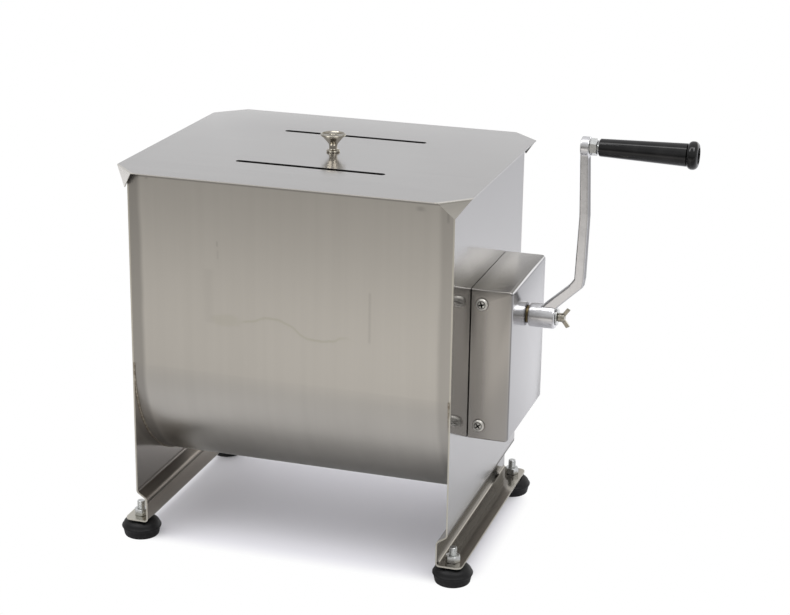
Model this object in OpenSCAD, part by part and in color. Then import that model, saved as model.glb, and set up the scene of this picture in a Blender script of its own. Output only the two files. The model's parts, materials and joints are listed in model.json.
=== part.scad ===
// Hand cranked meat mixer: a sheet steel tank on four rubber feet, a loose lid,
// a paddle shaft turned through a pair of gears, and a crank with a turning grip.

/* [Tank] */
// Width of the tank over its two end plates
tank_w = 333; // [290:1:400]
// Depth of the tank from front wall to back wall
tank_d = 264; // [240:1:300]
// Thickness of the tank's sheet steel
sheet = 1.5; // [1:0.1:2.5]
// Height of the tank's rim above the floor
rim_h = 396; // [360:1:440]
// Height of the paddle shaft's axis, which is the centre of the round bottom
axis_h = 195; // [180:1:215]

/* [Base rails] */
// Height of the upright rail between flange and joggle
rail_h = 24; // [15:0.5:26]
// How far the rail steps in from the end plate
joggle_in = 10.3; // [4:0.1:14]
// Height of the sloping step between end plate and rail
joggle_h = 7; // [5:0.5:10]
// Width of the flange that carries the feet
flange_w = 24.8; // [22:0.1:34]
// Corner cut on the ends of the flange
flange_cut = 6; // [3:0.5:10]

/* [Feet] */
// Height of a rubber foot under the flange
foot_h = 20.5; // [14:0.5:26]
// Diameter of the foot at its rim
foot_rim_d = 41; // [34:0.5:46]
// Diameter of the foot where it meets the floor
foot_base_d = 36; // [28:0.5:38]
// Diameter of the foot's crown under the flange
foot_crown_d = 14; // [12:0.5:32]
// Height of the rim's widest line above the floor
foot_rim_h = 11; // [8:0.5:12]
// Distance of the foot's centre from the end of the flange
foot_inset = 15; // [13:0.5:30]
// Diameter of the foot's stud
stud_d = 8; // [6:0.5:9]
// Length of stud above its nut
stud_proud = 8.5; // [4:0.5:14]
// Depth of rubber left below the stud
stud_floor = 5; // [4:0.5:8]
// Width of the foot nut across its flats
foot_nut_af = 13; // [12:0.5:16]
// Height of the foot nut
foot_nut_h = 7; // [5:0.5:8]

/* [Lid] */
// Width of the lid
lid_w = 362; // [340:1:440]
// Depth of the lid
lid_d = 300; // [280:1:340]
// Thickness of the lid's sheet
lid_t = 1; // [0.8:0.1:2]
// Length cut off each side of a corner, which is folded down as a flap
lid_corner = 27; // [15:0.5:28]
// Length of a lid slot
slot_l = 155; // [100:1:200]
// Width of a lid slot
slot_w = 6.5; // [5:0.5:9]
// Distance of each slot from the middle of the lid
slot_y = 69; // [40:1:85]

/* [Lid knob] */
// Diameter of the knob's disc
knob_d = 26; // [22:0.5:34]
// Height of the knob's rim above the lid
knob_rim_h = 17.7; // [15:0.1:24]
// Thickness of the disc's rounded rim
knob_rim_t = 2.2; // [1.6:0.1:3]
// Diameter of the raised button in the middle of the disc
knob_button_d = 8.4; // [6:0.2:12]
// Height of the raised button
knob_button_h = 1.2; // [0.6:0.1:2]
// Diameter of the knob's waist
knob_waist_d = 7.5; // [7:0.1:9]
// Diameter of the knob's base
knob_base_d = 14; // [13:0.5:18]
// Thickness of the knob's round-edged base
knob_base_t = 2.4; // [2:0.1:3]
// Radius of the hollow between the knob's base and its waist
knob_fillet = 1.9; // [1:0.1:2]
// Diameter of the knob's screw
knob_screw_d = 4; // [3:0.5:5]
// Depth of the knob's threaded hole
knob_thread = 11; // [7:0.5:12]
// Diameter of the knob screw's head
knob_head_d = 9.5; // [8:0.5:12]
// Diameter of the washer under the lid
knob_washer_d = 15; // [12:0.5:20]
// Thickness of the washer under the lid
knob_washer_t = 1.2; // [0.8:0.1:2]

/* [Gearbox] */
// Width of the gear cover, front to back
cover_w = 135.5; // [126:0.5:160]
// Height of the gear cover
cover_h = 156.5; // [150:0.5:180]
// Depth of the gear cover, out from the end plate
cover_depth = 42; // [40:0.5:50]
// Distance from the paddle shaft's axis down to the cover's bottom edge
cover_drop = 60.5; // [55:0.5:80]
// Gap between the cover's open edge and the end plate
cover_gap = 1.5; // [0.5:0.1:2]
// Thickness of the cover's sheet
cover_sheet = 1.5; // [1:0.1:2]
// Outer radius of the cover's two folds, above and below its face
cover_round = 4; // [2.6:0.1:8]
// Outer radius of the welded edges round the cover's front and back walls
cover_edge = 2.2; // [2.1:0.1:6]
// Distance of the cover screws from the end plate
cover_screw_x = 11.4; // [9:0.1:14]
// Distance of the cover screws from the cover's top and bottom edges
cover_screw_in = 15; // [12:0.5:20]
// Diameter of a cover screw
cover_screw_d = 6; // [5:0.5:6]
// Length of a cover screw under its head
cover_screw_l = 14; // [12:0.5:18]
// Diameter of a cover screw's head
cover_head_d = 12; // [10:0.1:13]
// Height of a cover screw's head
cover_head_h = 4; // [3.5:0.1:5]
// Width of a cover nut across its flats
cover_nut_af = 10; // [9:0.5:12]
// Height of a cover nut
cover_nut_h = 5; // [4:0.5:7]
// Length of the bracket's two legs
bracket_leg = 20; // [18:0.5:24]
// Thickness of the bracket's sheet
bracket_t = 2; // [1.5:0.1:3]
// Distance from the bracket's ends to the inside of the cover
bracket_end = 3; // [1:0.5:6]

/* [Bearings] */
// Thickness of the bearing plate on the end plate
plate_t = 6; // [5:0.5:8]
// Margin of the bearing plate round its two bosses
plate_edge = 5; // [3:0.5:10]
// Length of the bearing bosses, out from the end plate
boss_l = 16; // [14:0.5:17]
// Diameter of the paddle shaft's boss
main_boss_d = 42; // [40:0.5:46]
// Diameter of the crank shaft's boss
crank_boss_d = 32; // [30:0.5:36]
// Outer diameter of the main bush
main_bush_d = 26; // [24:0.5:30]
// Diameter of the main bush's flange
main_flange_d = 33; // [30:0.5:38]
// Thickness of the flanges on the bushes
bush_flange_t = 2.5; // [1.5:0.1:3]
// Outer diameter of the rubber shaft seal
seal_d = 31; // [28:0.5:34]
// Outer diameter of the crank shaft's inner bush
inner_bush_d = 20; // [18:0.5:22]
// Diameter of the inner bush's flange
inner_flange_d = 24; // [23:0.5:28]
// Outer diameter of the crank shaft's outer bush
outer_bush_d = 18; // [17:0.5:20]
// Length of the outer bush that shows outside the cover
outer_bush_proud = 1; // [0.8:0.1:4]
// Diameter of the bush housing welded inside the cover
housing_d = 44; // [36:1:60]
// Thickness of the bush housing
housing_t = 5; // [4:0.5:5.5]

/* [Gears] */
// Module of the gear teeth
gear_module = 1.5; // [1.25:0.05:1.6]
// Teeth on the drive gear
gear_teeth = 53; // [48:1:54]
// Teeth on the pinion
pinion_teeth = 18; // [18:1:20]
// Width of the gear teeth
gear_face = 12; // [8:0.5:12]
// Play between the teeth, along the pitch line
backlash = 0.3; // [0.2:0.05:0.5]
// Diameter of the drive gear's hub
gear_hub_d = 34; // [28:0.5:44]
// Thickness of the drive gear's web
gear_web = 6; // [4:0.5:8]
// Width of the keys
key_w = 4; // [3:0.5:4]
// Height of the keys
key_h = 4; // [3:0.5:4]
// Thickness of the ring that holds the drive gear
clip_t = 1.5; // [1:0.1:2]
// Outer diameter of the ring that holds the drive gear
clip_d = 23; // [20:0.5:26]

/* [Paddle shaft] */
// Diameter of the paddle shaft
shaft_d = 25; // [24:0.5:30]
// Diameter of the output shaft in its bush
output_d = 20; // [19:0.5:21]
// Diameter of the output shaft's stub and gear seat
stub_d = 16; // [14:0.5:17]
// Length of the stub inside the paddle shaft
stub_l = 35; // [25:1:45]
// Distance from the end plate to the paddle shaft's right end
shaft_end_gap = 5; // [2:0.5:10]
// Diameter of the coupling pin
coupling_pin_d = 6; // [4:0.5:7]
// Length of the coupling pin that shows at each end
coupling_pin_proud = 4; // [2:0.5:8]
// Diameter of the left pivot's journal
pivot_d = 14; // [12:0.5:15]
// Length of the left pivot's journal
pivot_l = 30; // [20:1:40]
// Diameter of the left pivot's collar
pivot_collar_d = 32; // [26:1:40]
// Thickness of the left pivot's collar
pivot_collar_t = 4; // [3:0.5:6]
// Diameter of the left pivot's thread
pivot_thread_d = 8; // [6:0.5:8]
// Length of thread that shows past the pivot nut
pivot_thread_proud = 1.5; // [0.5:0.5:2]
// Width of the pivot nut across its flats
pivot_nut_af = 13; // [12:0.5:17]
// Height of the pivot nut
pivot_nut_h = 6.5; // [5:0.5:8]
// Diameter of the disc that stiffens the left end plate
pivot_disc_d = 60; // [40:1:90]
// Thickness of the disc that stiffens the left end plate
pivot_disc_t = 3; // [2:0.5:4]
// Outer diameter of the plastic bush in the paddle shaft
paddle_bush_d = 20; // [18:0.5:21]

/* [Paddles] */
// Distance from the shaft's axis to the tips of the paddles
paddle_reach = 122; // [95:1:122]
// Distance between paddles along the shaft
paddle_pitch = 66; // [60:1:72]
// Width of a paddle's blade
blade_w = 66; // [40:1:70]
// Height of a paddle's blade
blade_h = 48; // [30:1:56]
// Thickness of a paddle's blade
blade_t = 4; // [3:0.5:6]
// Corner radius of a paddle's blade
blade_round = 10; // [4:0.5:14]
// Turn of the blade round its stem
blade_angle = 35; // [0:1:60]
// Diameter of a paddle's stem
stem_d = 12; // [8:0.5:14]
// Diameter of a paddle's collar
paddle_collar_d = 37; // [35:0.5:42]
// Length of a paddle's collar
paddle_collar_l = 24; // [18:0.5:30]
// Diameter of the pins that hold the paddles
paddle_pin_d = 5; // [4:0.5:6]

/* [Crank] */
// Distance from the crank shaft to the grip's axis
crank_radius = 177; // [140:1:180]
// Diameter of the crank shaft
crank_shaft_d = 14; // [13:0.5:14]
// Width across the two flats on the crank shaft's end
crank_flats = 11; // [9:0.5:11.5]
// Diameter of the crank's hub
hub_d = 24.5; // [22:0.5:30]
// Length of the crank's hub
hub_l = 27; // [22:0.5:34]
// Chamfer on the ends of the hub
hub_chamfer = 2; // [1:0.1:3]
// Distance from the hub's outer end to the middle of the upright arm
arm_out = 22.5; // [18:0.5:32]
// Height of the arm's bend above the crank shaft
arm_bend_h = 38; // [35:1:60]
// Width of the arm, front to back
arm_w = 12.5; // [10:0.5:18]
// Thickness of the arm at its root on the hub
arm_root_t = 10.7; // [9:0.1:12]
// Thickness of the arm at its bend
arm_t = 10; // [8:0.2:12]
// Thickness of the arm at its top
arm_top_t = 8.2; // [5.2:0.2:9]
// How far the upright arm bows outwards at half its height
arm_bow = 1.9; // [0:0.1:4]
// Radius of the arm's long edges
arm_edge = 2.2; // [1:0.1:2.4]
// Distance from the bend's corner at which the arm starts to turn
arm_turn = 5; // [2:0.5:8]
// Diameter of the boss at the arm's top
arm_boss_d = 19.5; // [18:0.5:26]
// Length of the boss at the arm's top
arm_boss_l = 8.6; // [8:0.1:14]

/* [Grip] */
// Length of the grip
grip_l = 96; // [80:1:120]
// Diameter of the grip at its arm end
grip_d1 = 17.4; // [16:0.1:22]
// Diameter of the grip where it meets its collar
grip_d2 = 21.8; // [18:0.1:26]
// Diameter of the collar at the grip's outer end
grip_collar_d = 27.4; // [25:0.1:32]
// Length of the collar at the grip's outer end
grip_collar_l = 12.5; // [8:0.5:16]
// Diameter of the recess in the grip's outer end
grip_recess_d = 16; // [15:0.5:20]
// Depth of the recess in the grip's outer end
grip_recess = 6; // [5:0.5:9]
// Diameter of the grip's spindle
spindle_d = 8; // [6:0.5:9]
// Diameter of the spindle's head
spindle_head_d = 13; // [11:0.5:14]
// Height of the spindle's head
spindle_head_h = 4; // [2:0.5:4.5]
// Width of the spindle's lock nut across its flats
spindle_nut_af = 15; // [13:0.5:17]
// Height of the spindle's lock nut
spindle_nut_h = 7.5; // [6:0.5:9]
// Gap between the lock nut and the grip
grip_gap = 1.45; // [1:0.05:4]

/* [Wing screw] */
// Diameter of the wing screw's thread
wing_thread_d = 6; // [4:0.5:6]
// Length of the wing screw's thread inside the crank shaft
wing_thread_l = 13; // [8:0.5:16]
// Diameter of the wing screw's boss
wing_boss_d = 9; // [8:0.5:12]
// Length of the wing screw's boss
wing_boss_l = 7; // [5:0.5:10]
// Thickness of a wing
wing_t = 3; // [2:0.1:5]
// Distance from the screw's axis to the end of a wing
wing_reach = 10.2; // [8:0.1:14]
// Distance that the wings lean out past the boss
wing_lean = 5.5; // [3:0.5:10]
// Radius of a wing's round end
wing_end_r = 2.1; // [1.5:0.1:3.5]
// Diameter of the washer under the wing screw
wing_washer_d = 17; // [15:0.5:22]
// Thickness of the washer under the wing screw
wing_washer_t = 1.6; // [1:0.1:2.5]

/* [Fits] */
// Radial clearance of a shaft that turns in its bush
run_fit = 0.05; // [0.03:0.01:0.09]
// Radial clearance of pieces that are fixed together
seat_fit = 0.05; // [0.03:0.01:0.1]
// Clearance of a screw or stud in its hole
screw_fit = 0.3; // [0.2:0.05:0.5]
// End play between faces that turn past each other
end_play = 0.4; // [0.3:0.1:0.8]

/* [Hidden] */
$fn = 64;

// Cutters run this far past the faces that they cut
over = 1;

// Tank and rails
half_w = tank_w / 2;
inner_x = half_w - sheet;
trough_r = tank_d / 2;
rail_x = half_w - joggle_in;
flange_x = rail_x + flange_w;
flange_top = foot_h + sheet;
joggle_lo = flange_top + rail_h;
joggle_hi = joggle_lo + joggle_h;
foot_x = rail_x + flange_w / 2;
foot_y = trough_r - foot_inset;
foot_places = [[-1, -1], [1, -1], [-1, 1], [1, 1]];
stud_top = flange_top + foot_nut_h + stud_proud;

// Gears: the pinion stands straight above the drive gear
gear_pitch_r = gear_module * gear_teeth / 2;
pinion_pitch_r = gear_module * pinion_teeth / 2;
crank_h = axis_h + gear_pitch_r + pinion_pitch_r;
boss_end = half_w + boss_l;
gear_x = boss_end + bush_flange_t + end_play;
gear_end = gear_x + gear_face;

// Gear cover
cover_x = half_w + cover_depth;
cover_bottom = axis_h - cover_drop;
cover_mid_h = cover_bottom + cover_h / 2;
cover_inner_y = cover_w / 2 - cover_sheet;
bracket_y = cover_inner_y - seat_fit;
bracket_l = cover_h - 2 * (cover_sheet + bracket_end);
cover_screw_z = cover_h / 2 - cover_screw_in;
cover_screw_places = [for (y = [-1, 1], z = [-1, 1]) [y, z]];

// Crank, from the cover outwards
hub_x = cover_x + outer_bush_proud + end_play;
hub_end = hub_x + hub_l;
arm_x = hub_end + arm_out;
arm_boss_x = arm_x - arm_boss_l / 2;
arm_boss_end = arm_boss_x + arm_boss_l;
grip_h = crank_h + crank_radius;
grip_x = arm_boss_end + spindle_nut_h + grip_gap;
grip_end = grip_x + grip_l;
spindle_head_x = grip_end - grip_recess + end_play;
wing_x = hub_end + end_play / 2;

// Paddle shaft, from the left pivot to the output shaft
shaft_left = -inner_x + pivot_collar_t + end_play;
shaft_right = inner_x - shaft_end_gap;
paddle_bush_l = pivot_l + end_play;

// Lid, resting on the tank's rim
lid_top = rim_h + lid_t;

// The middle of the whole length, from the left feet or the lid's left edge to the grip's end
left_reach = max(foot_x + foot_rim_d / 2, lid_w / 2);
mid_x = (grip_end - left_reach) / 2;

// Moves a piece from the tank's middle to the middle of the whole part
module placed() {
  translate([-mid_x, 0, 0]) children();
}

// Stands a turned piece on the X axis at a height, from x outwards to the right
module along_x(x, height) {
  translate([x, 0, height]) rotate([0, 90, 0]) children();
}

// A rectangle with round corners
module round_rect(w, h, r) {
  square([w - 2 * r, h], center = true);
  square([w, h - 2 * r], center = true);
  for (x = [-1, 1], y = [-1, 1]) translate([x * (w / 2 - r), y * (h / 2 - r)]) circle(r);
}

// A plain ring
module ring(outer_d, inner_d, h) {
  difference() {
    cylinder(d = outer_d, h = h);
    translate([0, 0, -over]) cylinder(d = inner_d, h = h + 2 * over);
  }
}

// A bush with a flange at its far end
module flanged_bush(outer_d, inner_d, l, flange_d, flange_t) {
  difference() {
    union() {
      cylinder(d = outer_d, h = l);
      translate([0, 0, l]) cylinder(d = flange_d, h = flange_t);
    }
    translate([0, 0, -over]) cylinder(d = inner_d, h = l + flange_t + 2 * over);
  }
}

// A six-sided prism, measured across its flats
module hex(af, h) {
  cylinder(d = af / cos(30), h = h, $fn = 6);
}

// A hexagon nut with its corners turned down on the outer side
module hex_nut(af, h, bore) {
  difference() {
    intersection() {
      hex(af, h);
      cylinder(r1 = af * 0.75, r2 = af * 0.52, h = h * 1.6);
    }
    translate([0, 0, -over]) cylinder(d = bore, h = h + 2 * over);
  }
}

// Points of an arc, from one angle to another
function arc(centre, r, from, to, steps) =
  [for (i = [0:steps]) let (a = from + (to - from) * i / steps) centre + r * [cos(a), sin(a)]];

// Tank: one sheet bent into a trough, between two end plates with rails and flanges
module trough_outline(r) {
  translate([0, axis_h]) circle(r, $fn = 128);
  translate([-r, axis_h]) square([2 * r, rim_h - axis_h]);
}

module tank_trough() {
  color("silver") placed() rotate([90, 0, 90])
    linear_extrude(2 * inner_x, center = true) difference() {
      trough_outline(trough_r);
      trough_outline(trough_r - sheet);
      translate([-trough_r + sheet, rim_h - over]) square([2 * (trough_r - sheet), 2 * over]);
    }
}

module end_plate_sheet() {
  outline = [
    [half_w, rim_h], [half_w, joggle_hi], [rail_x, joggle_lo], [rail_x, flange_top],
    [flange_x, flange_top], [flange_x, foot_h], [rail_x - sheet, foot_h],
    [rail_x - sheet, joggle_lo], [inner_x, joggle_hi], [inner_x, rim_h]];
  difference() {
    rotate([90, 0, 0]) linear_extrude(tank_d, center = true) polygon(outline);
    for (y = [-1, 1]) {
      translate([flange_x, y * trough_r, foot_h - over]) rotate([0, 0, 45])
        cube([flange_cut * sqrt(2), flange_cut * sqrt(2), 2 * (sheet + 2 * over)], center = true);
      translate([foot_x, y * foot_y, foot_h - over])
        cylinder(d = stud_d + 2 * screw_fit, h = sheet + 2 * over);
    }
  }
}

module left_end_plate() {
  color("silver") placed() difference() {
    mirror([1, 0, 0]) end_plate_sheet();
    along_x(-half_w - over, axis_h) cylinder(d = pivot_thread_d + 2 * seat_fit, h = sheet + 2 * over);
  }
}

module right_end_plate() {
  color("silver") placed() difference() {
    end_plate_sheet();
    along_x(inner_x - over, axis_h) cylinder(d = seal_d + 2 * seat_fit, h = sheet + 2 * over);
  }
}

// Feet: turned rubber buttons on studs, held by nuts on the flanges
module foot(side) {
  rim_r = foot_rim_d / 2;
  edge = 1.2;
  dome = arc([foot_crown_d / 2, foot_rim_h + edge], 1, 90, 0, 6);
  rise = foot_h - foot_rim_h - edge;
  run = rim_r - foot_crown_d / 2;
  crown = [for (p = dome) [
    foot_crown_d / 2 + (p[0] - foot_crown_d / 2) * run,
    foot_rim_h + edge + (p[1] - foot_rim_h - edge) * rise]];
  outline = concat(
    [[0, 0], [foot_base_d / 2 - edge, 0], [foot_base_d / 2, edge], [rim_r - edge / 2, foot_rim_h - edge],
     [rim_r, foot_rim_h]],
    [for (i = [len(crown) - 1:-1:0]) crown[i]], [[0, foot_h]]);
  color("#262626") placed() translate([side[0] * foot_x, side[1] * foot_y, 0]) difference() {
    rotate_extrude() polygon(outline);
    translate([0, 0, stud_floor]) cylinder(d = stud_d + 2 * seat_fit, h = foot_h);
  }
}

module foot_front_left() { foot(foot_places[0]); }
module foot_front_right() { foot(foot_places[1]); }
module foot_back_left() { foot(foot_places[2]); }
module foot_back_right() { foot(foot_places[3]); }

module foot_studs() {
  tip = stud_d / 10;
  color("gainsboro") placed() for (side = foot_places)
    translate([side[0] * foot_x, side[1] * foot_y, stud_floor]) {
      cylinder(d = stud_d, h = stud_top - tip - stud_floor);
      translate([0, 0, stud_top - tip - stud_floor]) cylinder(d1 = stud_d, d2 = stud_d - 2 * tip, h = tip);
    }
}

module foot_nuts() {
  color("gainsboro") placed() for (side = foot_places)
    translate([side[0] * foot_x, side[1] * foot_y, flange_top])
      hex_nut(foot_nut_af, foot_nut_h, stud_d + 2 * seat_fit);
}

// Left pivot: a journal inside the tank, held by a nut on a stiffening disc outside
module left_pivot_disc() {
  color("silver") placed() along_x(-half_w - pivot_disc_t, axis_h)
    ring(pivot_disc_d, pivot_thread_d + 2 * seat_fit, pivot_disc_t);
}

module left_pivot_pin() {
  thread_x = -half_w - pivot_disc_t - pivot_nut_h - pivot_thread_proud;
  color("lightgray") placed() {
    along_x(thread_x, axis_h) cylinder(d = pivot_thread_d, h = -inner_x - thread_x);
    along_x(-inner_x, axis_h) cylinder(d = pivot_collar_d, h = pivot_collar_t);
    along_x(-inner_x + pivot_collar_t, axis_h) cylinder(d = pivot_d, h = pivot_l);
  }
}

module left_pivot_nut() {
  color("gainsboro") placed() along_x(-half_w - pivot_disc_t, axis_h)
    mirror([0, 0, 1]) hex_nut(pivot_nut_af, pivot_nut_h, pivot_thread_d + 2 * seat_fit);
}

// Bearings of the gear side: a plate welded to the end plate, with two bosses
module bearing_plate() {
  low = axis_h - main_boss_d / 2 - plate_edge;
  high = crank_h + crank_boss_d / 2 + plate_edge;
  seal_depth = plate_t;
  color("darkgray") placed() difference() {
    union() {
      translate([half_w, -main_boss_d / 2 - plate_edge, low])
        cube([plate_t, main_boss_d + 2 * plate_edge, high - low]);
      along_x(half_w, axis_h) cylinder(d = main_boss_d, h = boss_l);
      along_x(half_w, crank_h) cylinder(d = crank_boss_d, h = boss_l);
    }
    along_x(half_w - over, axis_h) cylinder(d = seal_d + 2 * seat_fit, h = seal_depth + over);
    along_x(half_w, axis_h) cylinder(d = main_bush_d + 2 * seat_fit, h = boss_l + over);
    along_x(half_w - over, crank_h) cylinder(d = inner_bush_d + 2 * seat_fit, h = boss_l + 2 * over);
  }
}

module shaft_seal() {
  color("#303030") placed() along_x(inner_x, axis_h)
    ring(seal_d, output_d + 2 * run_fit, sheet + plate_t - seat_fit);
}

module main_bush() {
  color("peru") placed() along_x(half_w + plate_t, axis_h)
    flanged_bush(main_bush_d, output_d + 2 * run_fit, boss_l - plate_t, main_flange_d, bush_flange_t);
}

module crank_inner_bush() {
  color("peru") placed() along_x(half_w + seat_fit, crank_h)
    flanged_bush(inner_bush_d, crank_shaft_d + 2 * run_fit, boss_l - seat_fit, inner_flange_d, bush_flange_t);
}

// Gear cover: a folded box on two angle brackets, with the crank's outer bush in its face
module cover_bracket(side) {
  color("silver") placed() difference() {
    translate([half_w, side > 0 ? 0 : -bracket_y, cover_mid_h - bracket_l / 2]) {
      translate([0, side > 0 ? bracket_y - bracket_leg : 0, 0]) cube([bracket_t, bracket_leg, bracket_l]);
      translate([0, side > 0 ? bracket_y - bracket_t : 0, 0]) cube([bracket_leg, bracket_t, bracket_l]);
    }
    for (z = [-1, 1]) translate([half_w + cover_screw_x, side * bracket_y, cover_mid_h + z * cover_screw_z])
      rotate([90, 0, 0])
        cylinder(d = cover_screw_d + 2 * screw_fit, h = 2 * (bracket_t + over), center = true);
  }
}

module cover_bracket_front() { cover_bracket(-1); }
module cover_bracket_back() { cover_bracket(1); }

// Stands a screw or nut at each cover screw, pointing into the cover from a depth
module at_cover_screws(y) {
  for (p = cover_screw_places)
    translate([half_w + cover_screw_x, p[0] * y, cover_mid_h + p[1] * cover_screw_z])
      rotate([p[0] * 90, 0, 0]) children();
}

module cover_nuts() {
  color("gainsboro") placed() at_cover_screws(bracket_y - bracket_t)
    hex_nut(cover_nut_af, cover_nut_h, cover_screw_d + 2 * seat_fit);
}

module cover_screws() {
  recess = cover_head_d * 0.5;
  color("gainsboro") placed() at_cover_screws(cover_w / 2) {
    cylinder(d = cover_screw_d, h = cover_screw_l);
    difference() {
      mirror([0, 0, 1]) pan_head(cover_head_d, cover_head_h);
      translate([0, 0, -cover_head_h]) cube([recess, recess / 4, cover_head_h * 1.2], center = true);
      translate([0, 0, -cover_head_h]) cube([recess / 4, recess, cover_head_h * 1.2], center = true);
    }
  }
}

// A low domed head, flat underneath
module pan_head(d, h) {
  dome_r = (d * d / 4 + h * h / 4) / h;
  intersection() {
    cylinder(d = d, h = h);
    translate([0, 0, h - dome_r]) sphere(dome_r);
  }
}

// The cover's solid form, drawn in from its outside by an inset, from a gap off the end plate
module cover_form(inset, gap) {
  w = cover_w - 2 * inset;
  h = cover_h - 2 * inset;
  fold_r = cover_round - inset;
  edge_r = cover_edge - inset;
  reach = cover_depth - inset;
  intersection() {
    translate([half_w + gap, 0, cover_mid_h]) rotate([90, 0, 90])
      linear_extrude(reach - gap) round_rect(w, h, edge_r);
    translate([half_w, 0, cover_mid_h - h / 2]) linear_extrude(h) round_rect(2 * reach, w, edge_r);
    translate([half_w, w / 2, cover_mid_h]) rotate([90, 0, 0]) linear_extrude(w) round_rect(2 * reach, h, fold_r);
  }
}

module gearbox_cover() {
  color("silver") placed() difference() {
    cover_form(0, cover_gap);
    cover_form(cover_sheet, 0);
    along_x(half_w, crank_h) cylinder(d = outer_bush_d + 2 * seat_fit, h = cover_depth + over);
    for (p = cover_screw_places)
      translate([half_w + cover_screw_x, p[0] * (cover_w / 2 + over), cover_mid_h + p[1] * cover_screw_z])
        rotate([p[0] * 90, 0, 0]) cylinder(d = cover_screw_d + 2 * screw_fit, h = cover_sheet + 2 * over);
  }
}

module bush_housing() {
  color("darkgray") placed() along_x(cover_x - cover_sheet - housing_t, crank_h)
    ring(housing_d, outer_bush_d + 2 * seat_fit, housing_t);
}

module crank_outer_bush() {
  bush_x = gear_end + end_play;
  color("peru") placed() along_x(bush_x, crank_h)
    ring(outer_bush_d, crank_shaft_d + 2 * run_fit, cover_x + outer_bush_proud - bush_x);
}

// Paddle shaft: a bar on the left pivot, pinned to the output shaft on the right
module agitator_shaft() {
  color("lightgray") placed() difference() {
    along_x(shaft_left, axis_h) cylinder(d = shaft_d, h = shaft_right - shaft_left);
    along_x(shaft_left - over, axis_h)
      cylinder(d = paddle_bush_d + 2 * seat_fit, h = paddle_bush_l + over);
    along_x(shaft_right - stub_l - end_play, axis_h)
      cylinder(d = stub_d + 2 * seat_fit, h = stub_l + end_play + over);
    coupling_hole();
    for (i = [0:3]) at_paddle(i) pin_hole(paddle_pin_d + 2 * seat_fit, shaft_d + 2 * over);
  }
}

module agitator_bush() {
  color("whitesmoke") placed() along_x(shaft_left, axis_h)
    ring(paddle_bush_d, pivot_d + 2 * run_fit, paddle_bush_l);
}

// A cross hole or pin, lying front to back
module pin_hole(d, l) {
  rotate([90, 0, 0]) cylinder(d = d, h = l, center = true);
}

module coupling_hole() {
  translate([shaft_right - stub_l / 2, 0, axis_h])
    pin_hole(coupling_pin_d + 2 * seat_fit, shaft_d + 2 * over);
}

// Stands a paddle's pieces at its station, each a quarter turn on from the last
module at_paddle(i) {
  translate([(i - 1.5) * paddle_pitch, 0, axis_h]) rotate([90 * i, 0, 0]) children();
}

module paddle(i) {
  blade_low = paddle_reach - blade_h;
  color("lightgray") placed() at_paddle(i) difference() {
    union() {
      rotate([0, 90, 0]) cylinder(d = paddle_collar_d, h = paddle_collar_l, center = true);
      cylinder(d = stem_d, h = blade_low + blade_h / 2);
      translate([0, 0, blade_low + blade_h / 2]) rotate([90, 0, blade_angle])
        linear_extrude(blade_t, center = true) round_rect(blade_w, blade_h, blade_round);
    }
    rotate([0, 90, 0])
      cylinder(d = shaft_d + 2 * seat_fit, h = paddle_collar_l + 2 * over, center = true);
    pin_hole(paddle_pin_d + 2 * seat_fit, paddle_collar_d + 2 * over);
  }
}

module paddle_1() { paddle(0); }
module paddle_2() { paddle(1); }
module paddle_3() { paddle(2); }
module paddle_4() { paddle(3); }

module paddle_pins() {
  color("gainsboro") placed() for (i = [0:3]) at_paddle(i) pin_hole(paddle_pin_d, paddle_collar_d);
}

module output_shaft() {
  end = gear_end + clip_t + end_play + clip_t;
  groove_x = gear_end + end_play / 2;
  color("lightgray") placed() difference() {
    union() {
      along_x(shaft_right - stub_l, axis_h) cylinder(d = stub_d, h = end - shaft_right + stub_l);
      along_x(shaft_right + end_play, axis_h) cylinder(d = output_d, h = gear_x - shaft_right - end_play);
    }
    coupling_hole();
    key_cut(gear_x, end, axis_h + stub_d / 2, key_h / 2);
    along_x(groove_x - seat_fit, axis_h)
      ring(stub_d + 2 * over, stub_d - clip_t, clip_t + 2 * seat_fit);
  }
}

module coupling_pin() {
  color("gainsboro") placed() translate([shaft_right - stub_l / 2, 0, axis_h])
    pin_hole(coupling_pin_d, shaft_d + 2 * coupling_pin_proud);
}

// Involute teeth: points of a flank at a radius, and of one whole tooth
function involute_angle(base_r, r) =
  let (t = acos(min(1, base_r / r))) tan(t) * 180 / PI - t;

function tooth(teeth, at) =
  let (
    pitch_r = gear_module * teeth / 2,
    base_r = pitch_r * cos(20),
    tip_r = pitch_r + gear_module * 0.95,
    root_r = pitch_r - gear_module * 1.25,
    start_r = max(base_r, root_r),
    half = 90 / teeth - backlash / 2 / pitch_r * 180 / PI + involute_angle(base_r, pitch_r),
    radii = [for (i = [0:3]) start_r + (tip_r - start_r) * i / 3],
    rise = [for (r = radii) [r, half - involute_angle(base_r, r)]],
    polar = concat(
      [[root_r, -half - 0.2]], [for (p = rise) [p[0], -p[1]]],
      [for (i = [3:-1:0]) rise[i]], [[root_r, half + 0.2]]))
  [for (p = polar) p[0] * [cos(at + p[1]), sin(at + p[1])]];

module gear_outline(teeth, turn) {
  polygon([for (i = [0:teeth - 1]) each tooth(teeth, turn + 360 * i / teeth)]);
}

// A slot for a key, along X on the top of a shaft
module key_cut(from, to, height, depth) {
  translate([from, -key_w / 2 - seat_fit, height - depth - seat_fit])
    cube([to - from, key_w + 2 * seat_fit, 2 * depth + 2 * seat_fit]);
}

module key_bar(from, to, height) {
  translate([from, -key_w / 2, height - key_h / 2]) cube([to - from, key_w, key_h]);
}

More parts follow.
